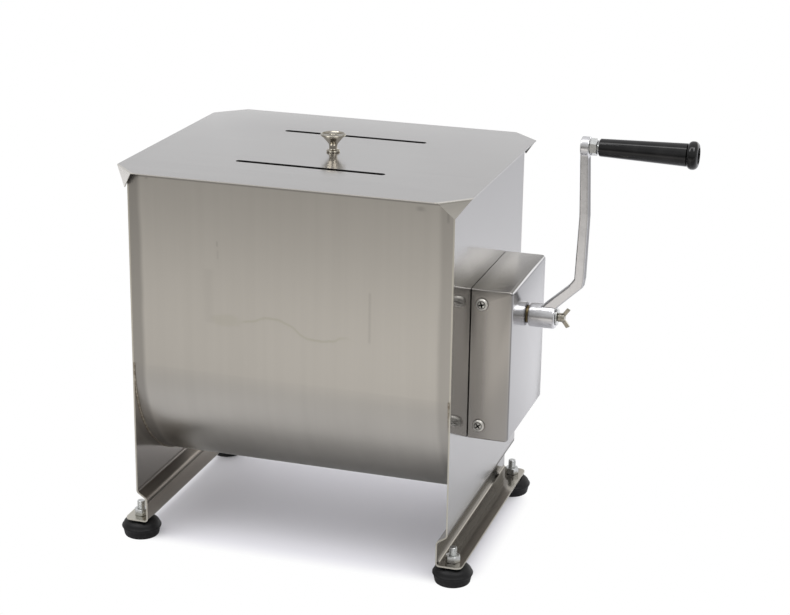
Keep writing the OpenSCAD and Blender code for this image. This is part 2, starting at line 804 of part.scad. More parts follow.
// A gear blank with teeth, its first tooth or gap straight up, and a keyed bore
module gear_blank(teeth, turn, bore) {
  difference() {
    linear_extrude(gear_face) gear_outline(teeth, turn);
    translate([0, 0, -over]) cylinder(d = bore + 2 * seat_fit, h = gear_face + 2 * over);
  }
}

module drive_gear() {
  web_r = gear_pitch_r - gear_module * 4;
  dish = (gear_face - gear_web) / 2;
  color("dimgray") placed() difference() {
    along_x(gear_x, axis_h) difference() {
      gear_blank(gear_teeth, 180, stub_d);
      for (z = [-over, gear_face - dish]) translate([0, 0, z])
        ring(2 * web_r, gear_hub_d, dish + over);
    }
    key_cut(gear_x - over, gear_end + over, axis_h + stub_d / 2, key_h / 2);
  }
}

module gear_key() {
  color("lightgray") placed() key_bar(gear_x, gear_end, axis_h + stub_d / 2);
}

module gear_clip() {
  groove_x = gear_end + end_play / 2;
  color("gray") placed() along_x(groove_x, axis_h) difference() {
    ring(clip_d, stub_d - clip_t + 2 * seat_fit, clip_t);
    translate([0, 0, clip_t / 2]) cube_gap(clip_d, key_w + 2 * seat_fit, clip_t + 2 * over);
  }
}

// The gap of an open ring, on its upper side
module cube_gap(l, w, h) {
  translate([-l / 2, 0, 0]) cube([l, w, h], center = true);
}

// Crank: the pinion's shaft, the cast arm on its flats, and the grip on its spindle
module crank_shaft() {
  start = half_w + end_play;
  end = hub_end - end_play;
  color("lightgray") placed() difference() {
    along_x(start, crank_h) cylinder(d = crank_shaft_d, h = end - start);
    translate([hub_x, 0, crank_h]) for (y = [-1, 1])
      translate([0, y > 0 ? crank_flats / 2 : -crank_flats / 2 - crank_shaft_d, -crank_shaft_d])
        cube([hub_l + over, crank_shaft_d, 2 * crank_shaft_d]);
    key_cut(gear_x, gear_end, crank_h + crank_shaft_d / 2, key_h / 2);
    along_x(end - wing_thread_l - end_play, crank_h)
      cylinder(d = wing_thread_d + 2 * run_fit, h = wing_thread_l + end_play + over);
  }
}

module pinion() {
  half_tooth = 180 / pinion_teeth;
  phase = pinion_teeth % 2 == 0 ? half_tooth : 0;
  color("dimgray") placed() difference() {
    along_x(gear_x, crank_h) gear_blank(pinion_teeth, phase, crank_shaft_d);
    key_cut(gear_x - over, gear_end + over, crank_h + crank_shaft_d / 2, key_h / 2);
  }
}

module pinion_key() {
  color("lightgray") placed() key_bar(gear_x, gear_end, crank_h + crank_shaft_d / 2);
}

// A cross-section of the arm at [x, height, thickness]: four balls that give it round edges
module arm_section(at) {
  for (x = [-1, 1], y = [-1, 1])
    translate([at[0] + x * (at[2] / 2 - arm_edge), y * (arm_w / 2 - arm_edge), at[1]])
      sphere(arm_edge, $fn = 32);
}

module crank_arm() {
  edge = hub_chamfer / 2;
  root = [hub_end - hub_d * 0.48, crank_h + hub_d / 4];
  corner = [arm_x, crank_h + arm_bend_h];
  lead = (corner - root) / norm(corner - root);
  stations = [
    concat(root, arm_root_t / lead[1]),
    concat(corner - arm_turn * lead, arm_t / lead[1]),
    concat(corner + [0, arm_turn], arm_t),
    [arm_x + arm_bow, (corner[1] + grip_h) / 2, (arm_t + arm_top_t) / 2],
    [arm_boss_end - 2 * end_play - arm_top_t / 2, grip_h, arm_top_t]];
  color("silver") placed() difference() {
    union() {
      along_x(hub_x, crank_h) rotate_extrude() polygon([
        [0, 0], [hub_d / 2 - hub_chamfer, 0], [hub_d / 2, hub_chamfer], [hub_d / 2, hub_l - edge],
        [hub_d / 2 - edge, hub_l], [0, hub_l]]);
      for (i = [0:3]) hull() {
        arm_section(stations[i]);
        arm_section(stations[i + 1]);
      }
      along_x(arm_boss_x, grip_h) rotate_extrude() polygon([
        [0, 0], [arm_boss_d / 2 - edge, 0], [arm_boss_d / 2, edge], [arm_boss_d / 2, arm_boss_l - edge],
        [arm_boss_d / 2 - edge, arm_boss_l], [0, arm_boss_l]]);
    }
    intersection() {
      along_x(hub_x - over, crank_h) cylinder(d = crank_shaft_d + 2 * seat_fit, h = hub_l + 2 * over);
      translate([hub_x - 2 * over, -crank_flats / 2 - seat_fit, crank_h - crank_shaft_d])
        cube([hub_l + 4 * over, crank_flats + 2 * seat_fit, 2 * crank_shaft_d]);
    }
    along_x(arm_boss_x - over, grip_h) cylinder(d = spindle_d + 2 * seat_fit, h = arm_boss_l + 2 * over);
  }
}

module handle_spindle() {
  color("gainsboro") placed() {
    along_x(arm_boss_x, grip_h) cylinder(d = spindle_d, h = spindle_head_x - arm_boss_x);
    along_x(spindle_head_x, grip_h) pan_head(spindle_head_d, spindle_head_h);
  }
}

module handle_nut() {
  color("gainsboro") placed() along_x(arm_boss_end, grip_h)
    hex_nut(spindle_nut_af, spindle_nut_h, spindle_d + 2 * seat_fit);
}

module grip() {
  edge = 2;
  collar_r = grip_collar_d / 2;
  collar_low = grip_l - grip_collar_l;
  color("#181818") placed() along_x(grip_x, grip_h) difference() {
    rotate_extrude() {
      polygon([[0, 0], [grip_d1 / 2 - edge, 0], [grip_d1 / 2, edge], [grip_d2 / 2, collar_low + edge],
        [0, collar_low + edge]]);
      intersection() {
        translate([0, collar_low + grip_collar_l / 2])
          round_rect(grip_collar_d, grip_collar_l, grip_collar_l * 0.4);
        square([collar_r, grip_l]);
      }
    }
    translate([0, 0, -over]) cylinder(d = spindle_d + 2 * run_fit, h = grip_l);
    translate([0, 0, grip_l - grip_recess]) cylinder(d = grip_recess_d, h = grip_recess + over);
  }
}

// Wing screw: holds the crank on its shaft
module wing_washer() {
  color("lightgray") placed() along_x(wing_x, crank_h)
    ring(wing_washer_d, wing_thread_d + 2 * run_fit, wing_washer_t);
}

module wing_screw() {
  head_x = wing_x + wing_washer_t + end_play / 2;
  wing_x_end = head_x + wing_boss_l + wing_lean;
  color("lightgray") placed() {
    along_x(hub_end - end_play - wing_thread_l, crank_h)
      cylinder(d = wing_thread_d, h = head_x - hub_end + end_play + wing_thread_l);
    along_x(head_x, crank_h) cylinder(d1 = wing_boss_d + 1, d2 = wing_boss_d - 1, h = wing_boss_l);
    for (z = [-1, 1]) hull() {
      translate([wing_x_end - wing_end_r, 0, crank_h + z * (wing_reach - wing_end_r)]) rotate([90, 0, 0])
        cylinder(r = wing_end_r, h = wing_t, center = true, $fn = 32);
      translate([head_x + wing_boss_l / 2, 0, crank_h]) rotate([90, 0, 0])
        cylinder(d = wing_boss_l * 0.7, h = wing_t, center = true, $fn = 32);
    }
  }
}

// Lid: a flat sheet with its corners folded down, two slots and a knob
module lid_slot() {
  square([slot_l - slot_w, slot_w], center = true);
  for (x = [-1, 1]) translate([x * (slot_l - slot_w) / 2, 0]) circle(d = slot_w);
}

module lid() {
  x = lid_w / 2;
  y = lid_d / 2;
  c = lid_corner;
  flap_l = c * sqrt(2) - 2 * lid_t;
  color("silver") placed() translate([0, 0, rim_h]) {
    linear_extrude(lid_t) difference() {
      polygon([[-x, c - y], [c - x, -y], [x - c, -y], [x, c - y], [x, y - c], [x - c, y], [c - x, y], [-x, y - c]]);
      for (side = [-1, 1]) translate([0, side * slot_y]) lid_slot();
      circle(d = knob_screw_d + 2 * screw_fit);
    }
    for (p = foot_places) translate([p[0] * (x - c / 2), p[1] * (y - c / 2), lid_t / 2])
      rotate([0, 0, atan2(p[1], p[0]) - 90]) rotate([90, 0, 0])
        linear_extrude(lid_t) polygon([[-flap_l / 2, 0], [flap_l / 2, 0], [0, -flap_l / 2]]);
  }
}

module lid_knob() {
  rim_r = knob_rim_t / 2;
  base_r = knob_base_t / 2;
  waist_r = knob_waist_d / 2;
  rim_x = knob_d / 2 - rim_r;
  base_x = knob_base_d / 2 - base_r;
  flare = rim_x - waist_r;
  top = knob_rim_h + rim_r;
  button_r = knob_button_d / 2;
  button = [for (a = [0:15:90]) [button_r * cos(a), top + knob_button_h * sin(a)]];
  outline = concat(
    [[0, 0]],
    arc([base_x, base_r], base_r, -90, 90, 8),
    arc([waist_r + knob_fillet, knob_base_t + knob_fillet], knob_fillet, 270, 180, 8),
    arc([rim_x, knob_rim_h - rim_r - flare], flare, 180, 91, 12),
    arc([rim_x, knob_rim_h], rim_r, -90, 90, 8),
    [[rim_x - knob_rim_t, top - rim_r / 2]],
    button);
  color("lightgray") placed() translate([0, 0, lid_top]) difference() {
    rotate_extrude() polygon(outline);
    translate([0, 0, -over]) cylinder(d = knob_screw_d + 2 * seat_fit, h = knob_thread + over);
  }
}

module knob_washer() {
  color("gainsboro") placed() translate([0, 0, rim_h - knob_washer_t])
    ring(knob_washer_d, knob_screw_d + 2 * screw_fit, knob_washer_t);
}

module knob_screw() {
  head_h = knob_head_d * 0.35;
  seat = rim_h - knob_washer_t;
  color("gainsboro") placed() {
    translate([0, 0, seat]) cylinder(d = knob_screw_d, h = lid_top + knob_thread - end_play - seat);
    translate([0, 0, seat]) mirror([0, 0, 1]) difference() {
      pan_head(knob_head_d, head_h);
      translate([0, 0, head_h]) cube([knob_head_d, knob_head_d / 7, head_h], center = true);
    }
  }
}

tank_trough();
left_end_plate();
right_end_plate();
foot_front_left();
foot_front_right();
foot_back_left();
foot_back_right();
foot_studs();
foot_nuts();
left_pivot_disc();
left_pivot_pin();
left_pivot_nut();
bearing_plate();
shaft_seal();
main_bush();
crank_inner_bush();
cover_bracket_front();
cover_bracket_back();
cover_nuts();
gearbox_cover();
cover_screws();
bush_housing();
crank_outer_bush();
agitator_shaft();
agitator_bush();
paddle_1();
paddle_2();
paddle_3();
paddle_4();
paddle_pins();
output_shaft();
coupling_pin();
drive_gear();
gear_key();
gear_clip();
crank_shaft();
pinion();
pinion_key();
crank_arm();
handle_spindle();
handle_nut();
grip();
wing_washer();
wing_screw();
lid();
lid_knob();
knob_washer();
knob_screw();
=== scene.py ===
# A hand cranked meat mixer: a stainless tank on rubber feet, with a loose lid, a gear cover and a crank.
# The sections follow the order in which it is put together, from the tank to the lid and its knob.
import json
import math

import bmesh
import bpy
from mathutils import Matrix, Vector

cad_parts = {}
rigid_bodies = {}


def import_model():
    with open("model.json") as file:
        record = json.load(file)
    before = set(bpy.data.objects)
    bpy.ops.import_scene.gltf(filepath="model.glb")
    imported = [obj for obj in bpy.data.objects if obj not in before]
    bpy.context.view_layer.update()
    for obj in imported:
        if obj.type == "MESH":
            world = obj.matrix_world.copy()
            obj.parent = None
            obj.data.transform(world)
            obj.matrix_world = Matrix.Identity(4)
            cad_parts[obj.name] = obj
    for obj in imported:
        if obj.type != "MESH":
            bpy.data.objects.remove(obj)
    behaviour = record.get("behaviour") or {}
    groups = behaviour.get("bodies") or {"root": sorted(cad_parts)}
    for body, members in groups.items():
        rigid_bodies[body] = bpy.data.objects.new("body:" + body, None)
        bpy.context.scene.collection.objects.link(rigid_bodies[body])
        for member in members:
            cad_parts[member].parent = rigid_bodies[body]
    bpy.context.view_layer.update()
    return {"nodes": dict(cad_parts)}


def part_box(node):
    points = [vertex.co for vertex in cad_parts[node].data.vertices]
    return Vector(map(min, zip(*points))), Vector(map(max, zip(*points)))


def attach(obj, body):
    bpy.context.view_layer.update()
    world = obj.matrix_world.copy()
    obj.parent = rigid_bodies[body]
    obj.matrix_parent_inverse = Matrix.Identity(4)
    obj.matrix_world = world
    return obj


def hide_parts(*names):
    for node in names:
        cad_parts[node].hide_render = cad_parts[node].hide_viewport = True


bpy.ops.object.select_all(action="SELECT")
bpy.ops.object.delete()
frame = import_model()
mm = 0.001

# Tank trough: one sheet of stainless steel, bent round the paddles and brushed along its bend.
# It is welded between the end plates, and the welds are ground, which leaves a dull band beside them.
trough_low, trough_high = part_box("tank_trough")
tank_x = (trough_low.x + trough_high.x) / 2
trough_half = (trough_high.x - trough_low.x) / 2
trough_r = (trough_high.y - trough_low.y) / 2
axis_z = trough_low.z + trough_r
rim_z = trough_high.z


class Wire:
    """A shader socket. Sums on wires add Math nodes, and node() adds any other node."""

    def __init__(self, tree, socket=None):
        self.tree = tree
        self.socket = socket

    def node(self, kind, settings=None, values=None, out=0):
        """Adds a node, makes its settings first, and then sets or links its sockets."""
        made = self.tree.nodes.new("ShaderNode" + kind)
        for key, value in (settings or {}).items():
            if key == "points":
                self.set_points(made.mapping, value)
            else:
                setattr(made, key, value)
        for key, value in (values or {}).items():
            if isinstance(value, Wire):
                self.tree.links.new(value.socket, made.inputs[key])
            else:
                made.inputs[key].default_value = value
        return Wire(self.tree, made.outputs[out] if made.outputs else None)

    def set_points(self, mapping, points):
        curve = mapping.curves[0]
        while len(curve.points) < len(points):
            curve.points.new(0.5, 0.5)
        for point, place in zip(curve.points, points):
            point.location = place
        mapping.update()

    def maths(self, operation, *others):
        return self.node("Math", {"operation": operation}, dict(enumerate((self,) + others)))

    def __add__(self, other):
        return self.maths("ADD", other)

    def __sub__(self, other):
        return self.maths("SUBTRACT", other)

    def __rsub__(self, other):
        return self.node("Math", {"operation": "SUBTRACT"}, {0: other, 1: self})

    def __mul__(self, other):
        return self.maths("MULTIPLY", other)

    def __truediv__(self, other):
        return self.maths("DIVIDE", other)

    def __abs__(self):
        return self.maths("ABSOLUTE")

    __radd__ = __add__
    __rmul__ = __mul__

    def larger(self, other):
        return self.maths("MAXIMUM", other)

    def smaller(self, other):
        return self.maths("MINIMUM", other)

    def diagonal(self, other):
        """The length of a step that goes by this wire and, square to it, by another."""
        return (self * self + other * other).maths("SQRT")

    def axes(self):
        """The three coordinates of a point."""
        return [self.node("SeparateXYZ", values={"Vector": self}, out=axis) for axis in range(3)]

    def ramp(self, low, high):
        """A smooth step from 0 at low to 1 at high, or down from 1 where low is above high."""
        ends = {"From Min": min(low, high), "From Max": max(low, high)}
        steps = {"To Min": int(low > high), "To Max": int(low < high)}
        values = {"Value": self, **ends, **steps}
        return self.node("MapRange", {"interpolation_type": "SMOOTHSTEP"}, values)

    def mix(self, first, second):
        """A colour from first to second, as this wire goes from 0 to 1."""
        return self.node("Mix", {"data_type": "RGBA"}, {0: self, 6: first, 7: second}, out=2)


def finish(name, coat, *details):
    """A material whose surface is the shader that coat(point, *details) makes at a point of it."""
    material = bpy.data.materials.new(name)
    material.use_nodes = True
    material.node_tree.nodes.clear()
    point = Wire(material.node_tree).node("TexCoord", out="Object")
    point.node("OutputMaterial", values={"Surface": coat(point, *details)})
    return material


def dress(material, *nodes):
    """Gives carried-over nodes their finish."""
    for node in nodes:
        frame["nodes"][node].data.materials.clear()
        frame["nodes"][node].data.materials.append(material)


def noise(point, scale, detail=2):
    """Noise of about scale patches to a metre, alike all round or given for each axis."""
    scales = scale if isinstance(scale, (list, tuple)) else [scale] * 3
    stretched = point.node("Mapping", values={"Vector": point, "Scale": scales})
    return point.node("TexNoise", values={"Vector": stretched, "Scale": 1, "Detail": detail})


def shades(tint, spread):
    """A darker and a lighter shade of a colour, as far apart as spread says."""
    return [[min(1, channel * (1 + step)) for channel in tint] + [1] for step in (-spread, spread)]


def bumped(height, strength, depth, under=None):
    """A normal raised by a height, on top of another normal if one is given."""
    values = {"Strength": strength, "Distance": depth, "Height": height}
    if under:
        values["Normal"] = under
    return height.node("Bump", values=values, out="Normal")


def brushed(point, across, tint, roughness, anisotropy, wave, marks=None):
    """Brushed stainless steel: fine scratches, broad faint streaks and a gentle wave of the sheet."""
    fine = noise(point, [1400 if axis in across else 8 for axis in "XYZ"])
    streak = noise(point, [110 if axis in across else 2.5 for axis in "XYZ"], 3)
    cloud = noise(point, 9, 3)
    colour = (fine * 0.03 + streak * 0.52 + cloud * 0.45).ramp(0.3, 0.7).mix(*shades(tint, 0.022))
    gloss = roughness + (fine - 0.5) * 0.004 + (streak - 0.5) * 0.008 + (cloud - 0.5) * 0.05
    if marks:
        colour, gloss = marks(point, colour, gloss)
    scratches = bumped(fine, 0.003, 0.1 * mm)
    swell = noise(point, 5.5, 1)
    return point.node("BsdfPrincipled", values={
        "Base Color": colour, "Metallic": 1.0, "Roughness": gloss, "Anisotropic": anisotropy,
        "Normal": bumped(swell, wave, 0.8 * mm, scratches)})


sheet_tint = (0.60, 0.579, 0.543)
weld_band = 11 * mm
weld_fade = 6 * mm
weld_wander = 5 * mm
weld_tint = (0.36, 0.345, 0.325, 1)
stain_tint = (0.50, 0.49, 0.40, 1)
stain_left = tank_x - 50 * mm
stain_width = 120 * mm
stain_low = 238 * mm
stain_height = 24 * mm
stain_half = 2 * mm
stain_line = [(0, 0.58), (0.12, 0.67), (0.25, 0.87), (0.44, 0.65), (0.62, 0.17), (0.8, 0.21),
              (0.9, 0.4), (1, 0.31)]
blot_x = tank_x - 64 * mm
blot_z = 252 * mm
blot_half_width = 17 * mm
blot_half_height = 7 * mm
# Scuffs darken the front wall towards this colour, and so does the painted shadow under the lid's edge.
scuff_and_shadow_tint = (0.2, 0.19, 0.18, 1)
scuff_fade = 3
# Scuffs on the front wall: place from the tank's middle, lower end, upper end, half width, strength.
scuffs = [(84, 244, 298, 2.4, 0.16), (-72.7, 325, 333, 1.5, 0.25), (-72.2, 312, 324, 2, 0.12),
          (-82, 246, 304, 9, 0.07), (133, 381, 388, 7, 0.32), (160, 372, 386, 2.2, 0.3),
          (-146, 386, 391, 3, 0.3)]
# The painted shadow of the lid's edge starts this far below the rim, and fades in over rim_fade.
rim_shade = 6.2 * mm
rim_fade = 1 * mm


def trough_marks(point, colour, gloss):
    """Ground weld bands by the end plates, a water line, a blot and scuffs on the front wall, and a painted
    shadow line under the lid's edge.
    """
    x, y, z = point.axes()
    from_end = trough_half - abs(x - tank_x) + noise(point, (20, 20, 12)) * weld_wander
    band = from_end.ramp(weld_band + weld_fade, weld_band)
    share = (x - stain_left) / stain_width
    wander = point.node("FloatCurve", {"points": stain_line}, {"Value": share})
    height = wander * stain_height + stain_low + (noise(point, 160) - 0.5) * stain_half
    line = abs(z - height).ramp(stain_half, stain_half / 5) * share.ramp(0, 0.06) * share.ramp(1.02, 0.8)
    across = abs(x - blot_x) / blot_half_width
    up = abs(z - blot_z) / blot_half_height
    blot = (across * across + up * up + noise(point, (90, 90, 200)) - 0.5).ramp(1.3, 0.2)
    front = y.ramp(-trough_r * 0.95, -trough_r * 0.99)
    stain = (line * 0.4 + blot * 0.22) * front
    colour = (band * (0.75 - x.ramp(tank_x, trough_high.x) * 0.35)).mix(colour, weld_tint)
    colour = stain.mix(colour, stain_tint)
    # Painted shadow along the top of the front wall, where the lid's edge shades the rim; the scuffs are
    # added to it below.
    shadow_and_scuffs = z.ramp(rim_z - rim_shade - rim_fade, rim_z - rim_shade) * 0.5
    for reach, low, high, half, depth in scuffs:
        upright = z.ramp(low * mm, (low + scuff_fade) * mm) * z.ramp(high * mm, (high - scuff_fade) * mm)
        shadow_and_scuffs = shadow_and_scuffs + abs(x - tank_x - reach * mm).ramp(half * mm, 0) * upright * depth
    colour = (shadow_and_scuffs * front).mix(colour, scuff_and_shadow_tint)
    return colour, gloss + band * 0.05 + stain * 0.1


dress(finish("tank_sheet", brushed, "X", sheet_tint, 0.305, 0.4, 0.3, trough_marks), "tank_trough")

# Tank welds: the bead that joins the trough's round bottom to each end plate, laid in the corner outside.
# It is left as welded below the walls, with the small ripples of the torch.
bead_r = 1.1 * mm
bead_in = 0.33 * mm
bead_out = 0.22 * mm
bead_steps = 160
bead_tints = (0.3, 0.26, 0.21, 1), (0.5, 0.46, 0.39, 1)


def deselect():
    bpy.ops.object.select_all(action="DESELECT")


def only(piece):
    """Leaves one object selected, and active."""
    deselect()
    piece.select_set(True)
    bpy.context.view_layer.objects.active = piece


def edit(piece):
    """Opens a piece in edit mode, with all of its points selected."""
    only(piece)
    bpy.ops.object.mode_set(mode="EDIT")
    bpy.ops.mesh.select_mode(type="VERT")
    bpy.ops.mesh.select_all(action="SELECT")


def done():
    """Leaves edit mode."""
    bpy.ops.object.mode_set(mode="OBJECT")


def set_place(piece):
    """Puts a piece's place into its mesh."""
    only(piece)
    bpy.ops.object.transform_apply(location=True, rotation=True, scale=True)


def settle(piece, name, material, body, nodes=()):
    """Names and dresses a finished piece, and makes it ride on its body and stand for its nodes."""
    set_place(piece)
    piece.name = name
    piece.data.name = name
    piece.data.materials.clear()
    piece.data.materials.append(material)
    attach(piece, body)
    if nodes:
        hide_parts(*nodes)


def joined(pieces):
    """Several objects as one."""
    deselect()
    for piece in pieces:
        piece.select_set(True)
    bpy.context.view_layer.objects.active = pieces[0]
    bpy.ops.object.join()
    return bpy.context.object


def smooth(piece, angle=35):
    """Shades a piece smooth, apart from edges sharper than an angle in degrees."""
    only(piece)
    bpy.ops.object.shade_smooth_by_angle(angle=math.radians(angle))


def clean_mesh():
    """In edit mode, merges doubles and turns the faces outwards."""
    bpy.ops.mesh.select_all(action="SELECT")
    bpy.ops.mesh.remove_doubles(threshold=0.01 * mm)
    bpy.ops.mesh.normals_make_consistent(inside=False)


def weld_bead(side):
    """A half ring, spun from a small circle in the corner at one end plate."""
    deselect()
    bpy.ops.mesh.primitive_circle_add(
        vertices=8, radius=bead_r, fill_type="NGON",
        location=(tank_x + side * (trough_half - bead_in), -trough_r - bead_out, axis_z))
    bead = bpy.context.object
    edit(bead)
    bpy.ops.mesh.spin(steps=bead_steps, angle=math.pi, center=(tank_x, 0, axis_z), axis=(-1, 0, 0))
    clean_mesh()
    done()
    return bead


def weld_coat(point):
    """Steel as the torch leaves it: straw brown, with small ripples."""
    ripple = noise(point, (300, 450, 450))
    return point.node("BsdfPrincipled", values={
        "Base Color": ripple.ramp(0.35, 0.65).mix(*bead_tints),
        "Metallic": 1.0, "Roughness": 0.3 + ripple * 0.2, "Normal": bumped(ripple, 0.25, 0.5 * mm)})


welds = joined([weld_bead(side) for side in (-1, 1)])
smooth(welds, 60)
settle(welds, "tank_welds", finish("weld", weld_coat), "frame")

# End plates: flat brushed sheets of stainless steel, stepped in at the foot and turned out as a flange.
# The press rounds the bends, the flange's corners are cut off, and holes take the studs and bearings.
sheet = 1.5 * mm
bend_r = 2.2 * mm
joggle_top = 53 * mm
joggle_foot = 46 * mm
flange_cut = 6.5 * mm
plate_low, plate_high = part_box("right_end_plate")
plate_x = trough_high.x + sheet
rail_x = plate_low.x + sheet
flange_z = plate_low.z + sheet
feet = ["foot_front_left", "foot_front_right", "foot_back_left", "foot_back_right"]
foot_low, foot_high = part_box(feet[0])
foot_r = (foot_high.x - foot_low.x) / 2
stud_r = 4 * mm
seal_low, seal_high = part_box("shaft_seal")


def choose(kind, test):
    """In edit mode, selects the verts, edges or faces that pass a test."""
    mesh = bmesh.from_edit_mesh(bpy.context.edit_object.data)
    bpy.ops.mesh.select_mode(type={"verts": "VERT", "edges": "EDGE", "faces": "FACE"}[kind])
    bpy.ops.mesh.select_all(action="DESELECT")
    for part in getattr(mesh, kind):
        part.select_set(test(part))
    mesh.select_flush_mode()
    bmesh.update_edit_mesh(bpy.context.edit_object.data)


def near(one, other):
    return abs(one - other) < 0.05 * mm


def extrude(*step):
    bpy.ops.mesh.extrude_region_move(TRANSFORM_OT_translate={"value": step})


def resize(centre, *factors):
    bpy.ops.transform.resize(value=factors, center_override=centre)


def apply_modifier(piece, kind, **settings):
    """Puts one modifier on a piece, and applies it."""
    only(piece)
    modifier = piece.modifiers.new(kind, kind)
    for key, value in settings.items():
        setattr(modifier, key, value)
    bpy.ops.object.modifier_apply(modifier=kind)


def cut(piece, tool, operation="DIFFERENCE"):
    """Cuts a piece with a tool, or keeps what lies in both, and takes the tool away."""
    apply_modifier(piece, "BOOLEAN", object=tool, operation=operation, solver="EXACT")
    bpy.data.objects.remove(tool)


def rod(place, axis, radius, length):
    """A round cutter along an axis, centred on a place."""
    deselect()
    turn = {"X": (0, math.pi / 2, 0), "Y": (math.pi / 2, 0, 0), "Z": (0, 0, 0)}[axis]
    bpy.ops.mesh.primitive_cylinder_add(
        vertices=48, radius=radius, depth=length, location=place, rotation=turn)
    set_place(bpy.context.object)
    return bpy.context.object


def copy_of(piece, step=(0, 0, 0)):
    """A copy of a piece with a mesh of its own, moved by a step."""
    twin = piece.copy()
    twin.data = piece.data.copy()
    bpy.context.scene.collection.objects.link(twin)
    twin.location = step
    set_place(twin)
    return twin


def plate_sheet():
    """The right end plate: an upright sheet, its lower edge drawn out into joggle, rail and flange."""
    centre = Vector((plate_x, 0, (joggle_top + rim_z) / 2))
    deselect()
    bpy.ops.mesh.primitive_plane_add(size=1, location=centre, rotation=(0, math.pi / 2, 0))
    plate = bpy.context.object
    set_place(plate)
    edit(plate)
    resize(centre, 1, 2 * trough_r, rim_z - joggle_top)
    choose("edges", lambda edge: all(near(vert.co.z, joggle_top) for vert in edge.verts))
    extrude(rail_x - plate_x, 0, joggle_foot - joggle_top)
    extrude(0, 0, flange_z - joggle_foot)
    extrude(plate_high.x - rail_x, 0, 0)
    choose("edges", lambda edge: len(edge.link_faces) == 2)
    bpy.ops.mesh.bevel(offset=bend_r, segments=4, affect="EDGES")
    choose("verts", lambda vert: near(vert.co.x, plate_high.x))
    bpy.ops.mesh.bevel(offset=flange_cut, segments=3, affect="VERTICES")
    done()
    apply_modifier(plate, "SOLIDIFY", thickness=sheet, offset=-1, use_even_offset=True)
    for side in (-1, 1):
        stud_place = (2 * tank_x - foot_low.x - foot_r, side * (foot_low.y + foot_r), flange_z)
        cut(plate, rod(stud_place, "Z", stud_r, 4 * sheet))
    return plate


end_right = plate_sheet()
end_left = copy_of(end_right)
edit(end_left)
resize((tank_x, 0, 0), -1, 1, 1)
bpy.ops.mesh.normals_make_consistent(inside=False)
done()
cut(end_right, rod((plate_x, 0, axis_z), "X", (seal_high.z - seal_low.z) / 2, 6 * sheet))
cut(end_left, rod((2 * tank_x - plate_x, 0, axis_z), "X", stud_r, 6 * sheet))
plate_tint = (0.495, 0.489, 0.487)
inner_tint = (0.54, 0.505, 0.468, 1)
inner_foot_tint = (0.66, 0.6, 0.53, 1)
# Painted shade for the joggle and its bends.
bend_shade_tint = (0.11, 0.095, 0.08, 1)
bend_shade = 5 * mm
bend_fade = 2 * mm
# Painted reflections on the flanges: pale on the left, and dark brown on the right, lighter towards its
# outer edge.
left_flange_reflection_tint = (0.62, 0.6, 0.53, 1)
right_flange_reflection_tints = (0.2, 0.18, 0.15, 1), (0.52, 0.48, 0.41, 1)
sheared_tint = (0.7, 0.675, 0.6, 1)
sheared_line = 0.8 * mm


def plate_marks(point, colour, gloss):
    """The left plate is warmer. Both have painted shade in the bends and painted reflections on the flange,
    and are pale where sheared.
    """
    x, y, z = point.axes()
    right = x.ramp(tank_x - 1 * mm, tank_x + 1 * mm)
    foot = z.ramp(joggle_top + 1 * mm, joggle_foot)
    colour = right.mix(foot.mix(inner_tint, inner_foot_tint), colour)
    # Painted shade over the joggle and its two bends.
    bend_shading = z.ramp(joggle_foot - bend_shade, joggle_foot - bend_shade + bend_fade)
    bend_shading = bend_shading * z.ramp(joggle_top + bend_shade, joggle_top + bend_shade - bend_fade)
    colour = (bend_shading * 0.75).mix(colour, bend_shade_tint)
    # Painted reflection on the flanges: pale on the left, dark brown on the right, lighter towards the
    # outer edge.
    outer = x.ramp(plate_high.x - 12 * mm, plate_high.x - 3 * mm)
    flange_reflection = z.ramp(flange_z + 4 * mm, flange_z + 2 * mm)
    colour = (flange_reflection * 0.88).mix(colour, right.mix(left_flange_reflection_tint, outer.mix(*right_flange_reflection_tints)))
    past_x = (abs(x - tank_x) - (plate_high.x - tank_x - flange_cut)).larger(0)
    past_y = (abs(y) - (trough_r - flange_cut)).larger(0)
    ends = past_x.diagonal(past_y).ramp(flange_cut - sheared_line, flange_cut - sheared_line / 2)
    colour = (ends * 0.85).mix(colour, sheared_tint)
    return colour, gloss + foot * 0.03 - flange_reflection * 0.04 + ends * 0.2 + bend_shading * 0.2


plate_steel = finish("plate_sheet", brushed, "Y", plate_tint, 0.14, 0.3, 0.2, plate_marks)
for plate, side in ((end_left, "left"), (end_right, "right")):
    smooth(plate)
    settle(plate, side + "_plate", plate_steel, "frame", [side + "_end_plate"])

# Feet: buttons of black rubber with a round crown and a flared rim, moulded on to the heads of steel studs.
# They stand under the flanges' corners, and the rubber is dusty where it nears the floor.
foot_top = foot_high.z
foot_base_r = 18 * mm
foot_crown_r = 8 * mm
foot_neck = 1.6 * mm
foot_rim_z = 11 * mm
foot_edge = 1.3 * mm
foot_rim_h = 3.2 * mm
foot_base_edge = 2.4 * mm
foot_dust_z = 7 * mm
rubber_tints = (0.005, 0.005, 0.0055, 1), (0.018, 0.017, 0.017, 1)


def arc(centre, radius, start, end, steps):
    """Points of an arc between two angles in degrees. The radius may differ along the two axes."""
    wide, high = radius if isinstance(radius, tuple) else (radius, radius)
    angles = [math.radians(start + (end - start) * step / steps) for step in range(steps + 1)]
    return [(centre[0] + wide * math.cos(angle), centre[1] + high * math.sin(angle)) for angle in angles]


def flat_square(place, size=1):
    """A flat square at a place, opened in edit mode."""
    deselect()
    bpy.ops.mesh.primitive_plane_add(size=size, location=place)
    edit(bpy.context.object)
    return bpy.context.object


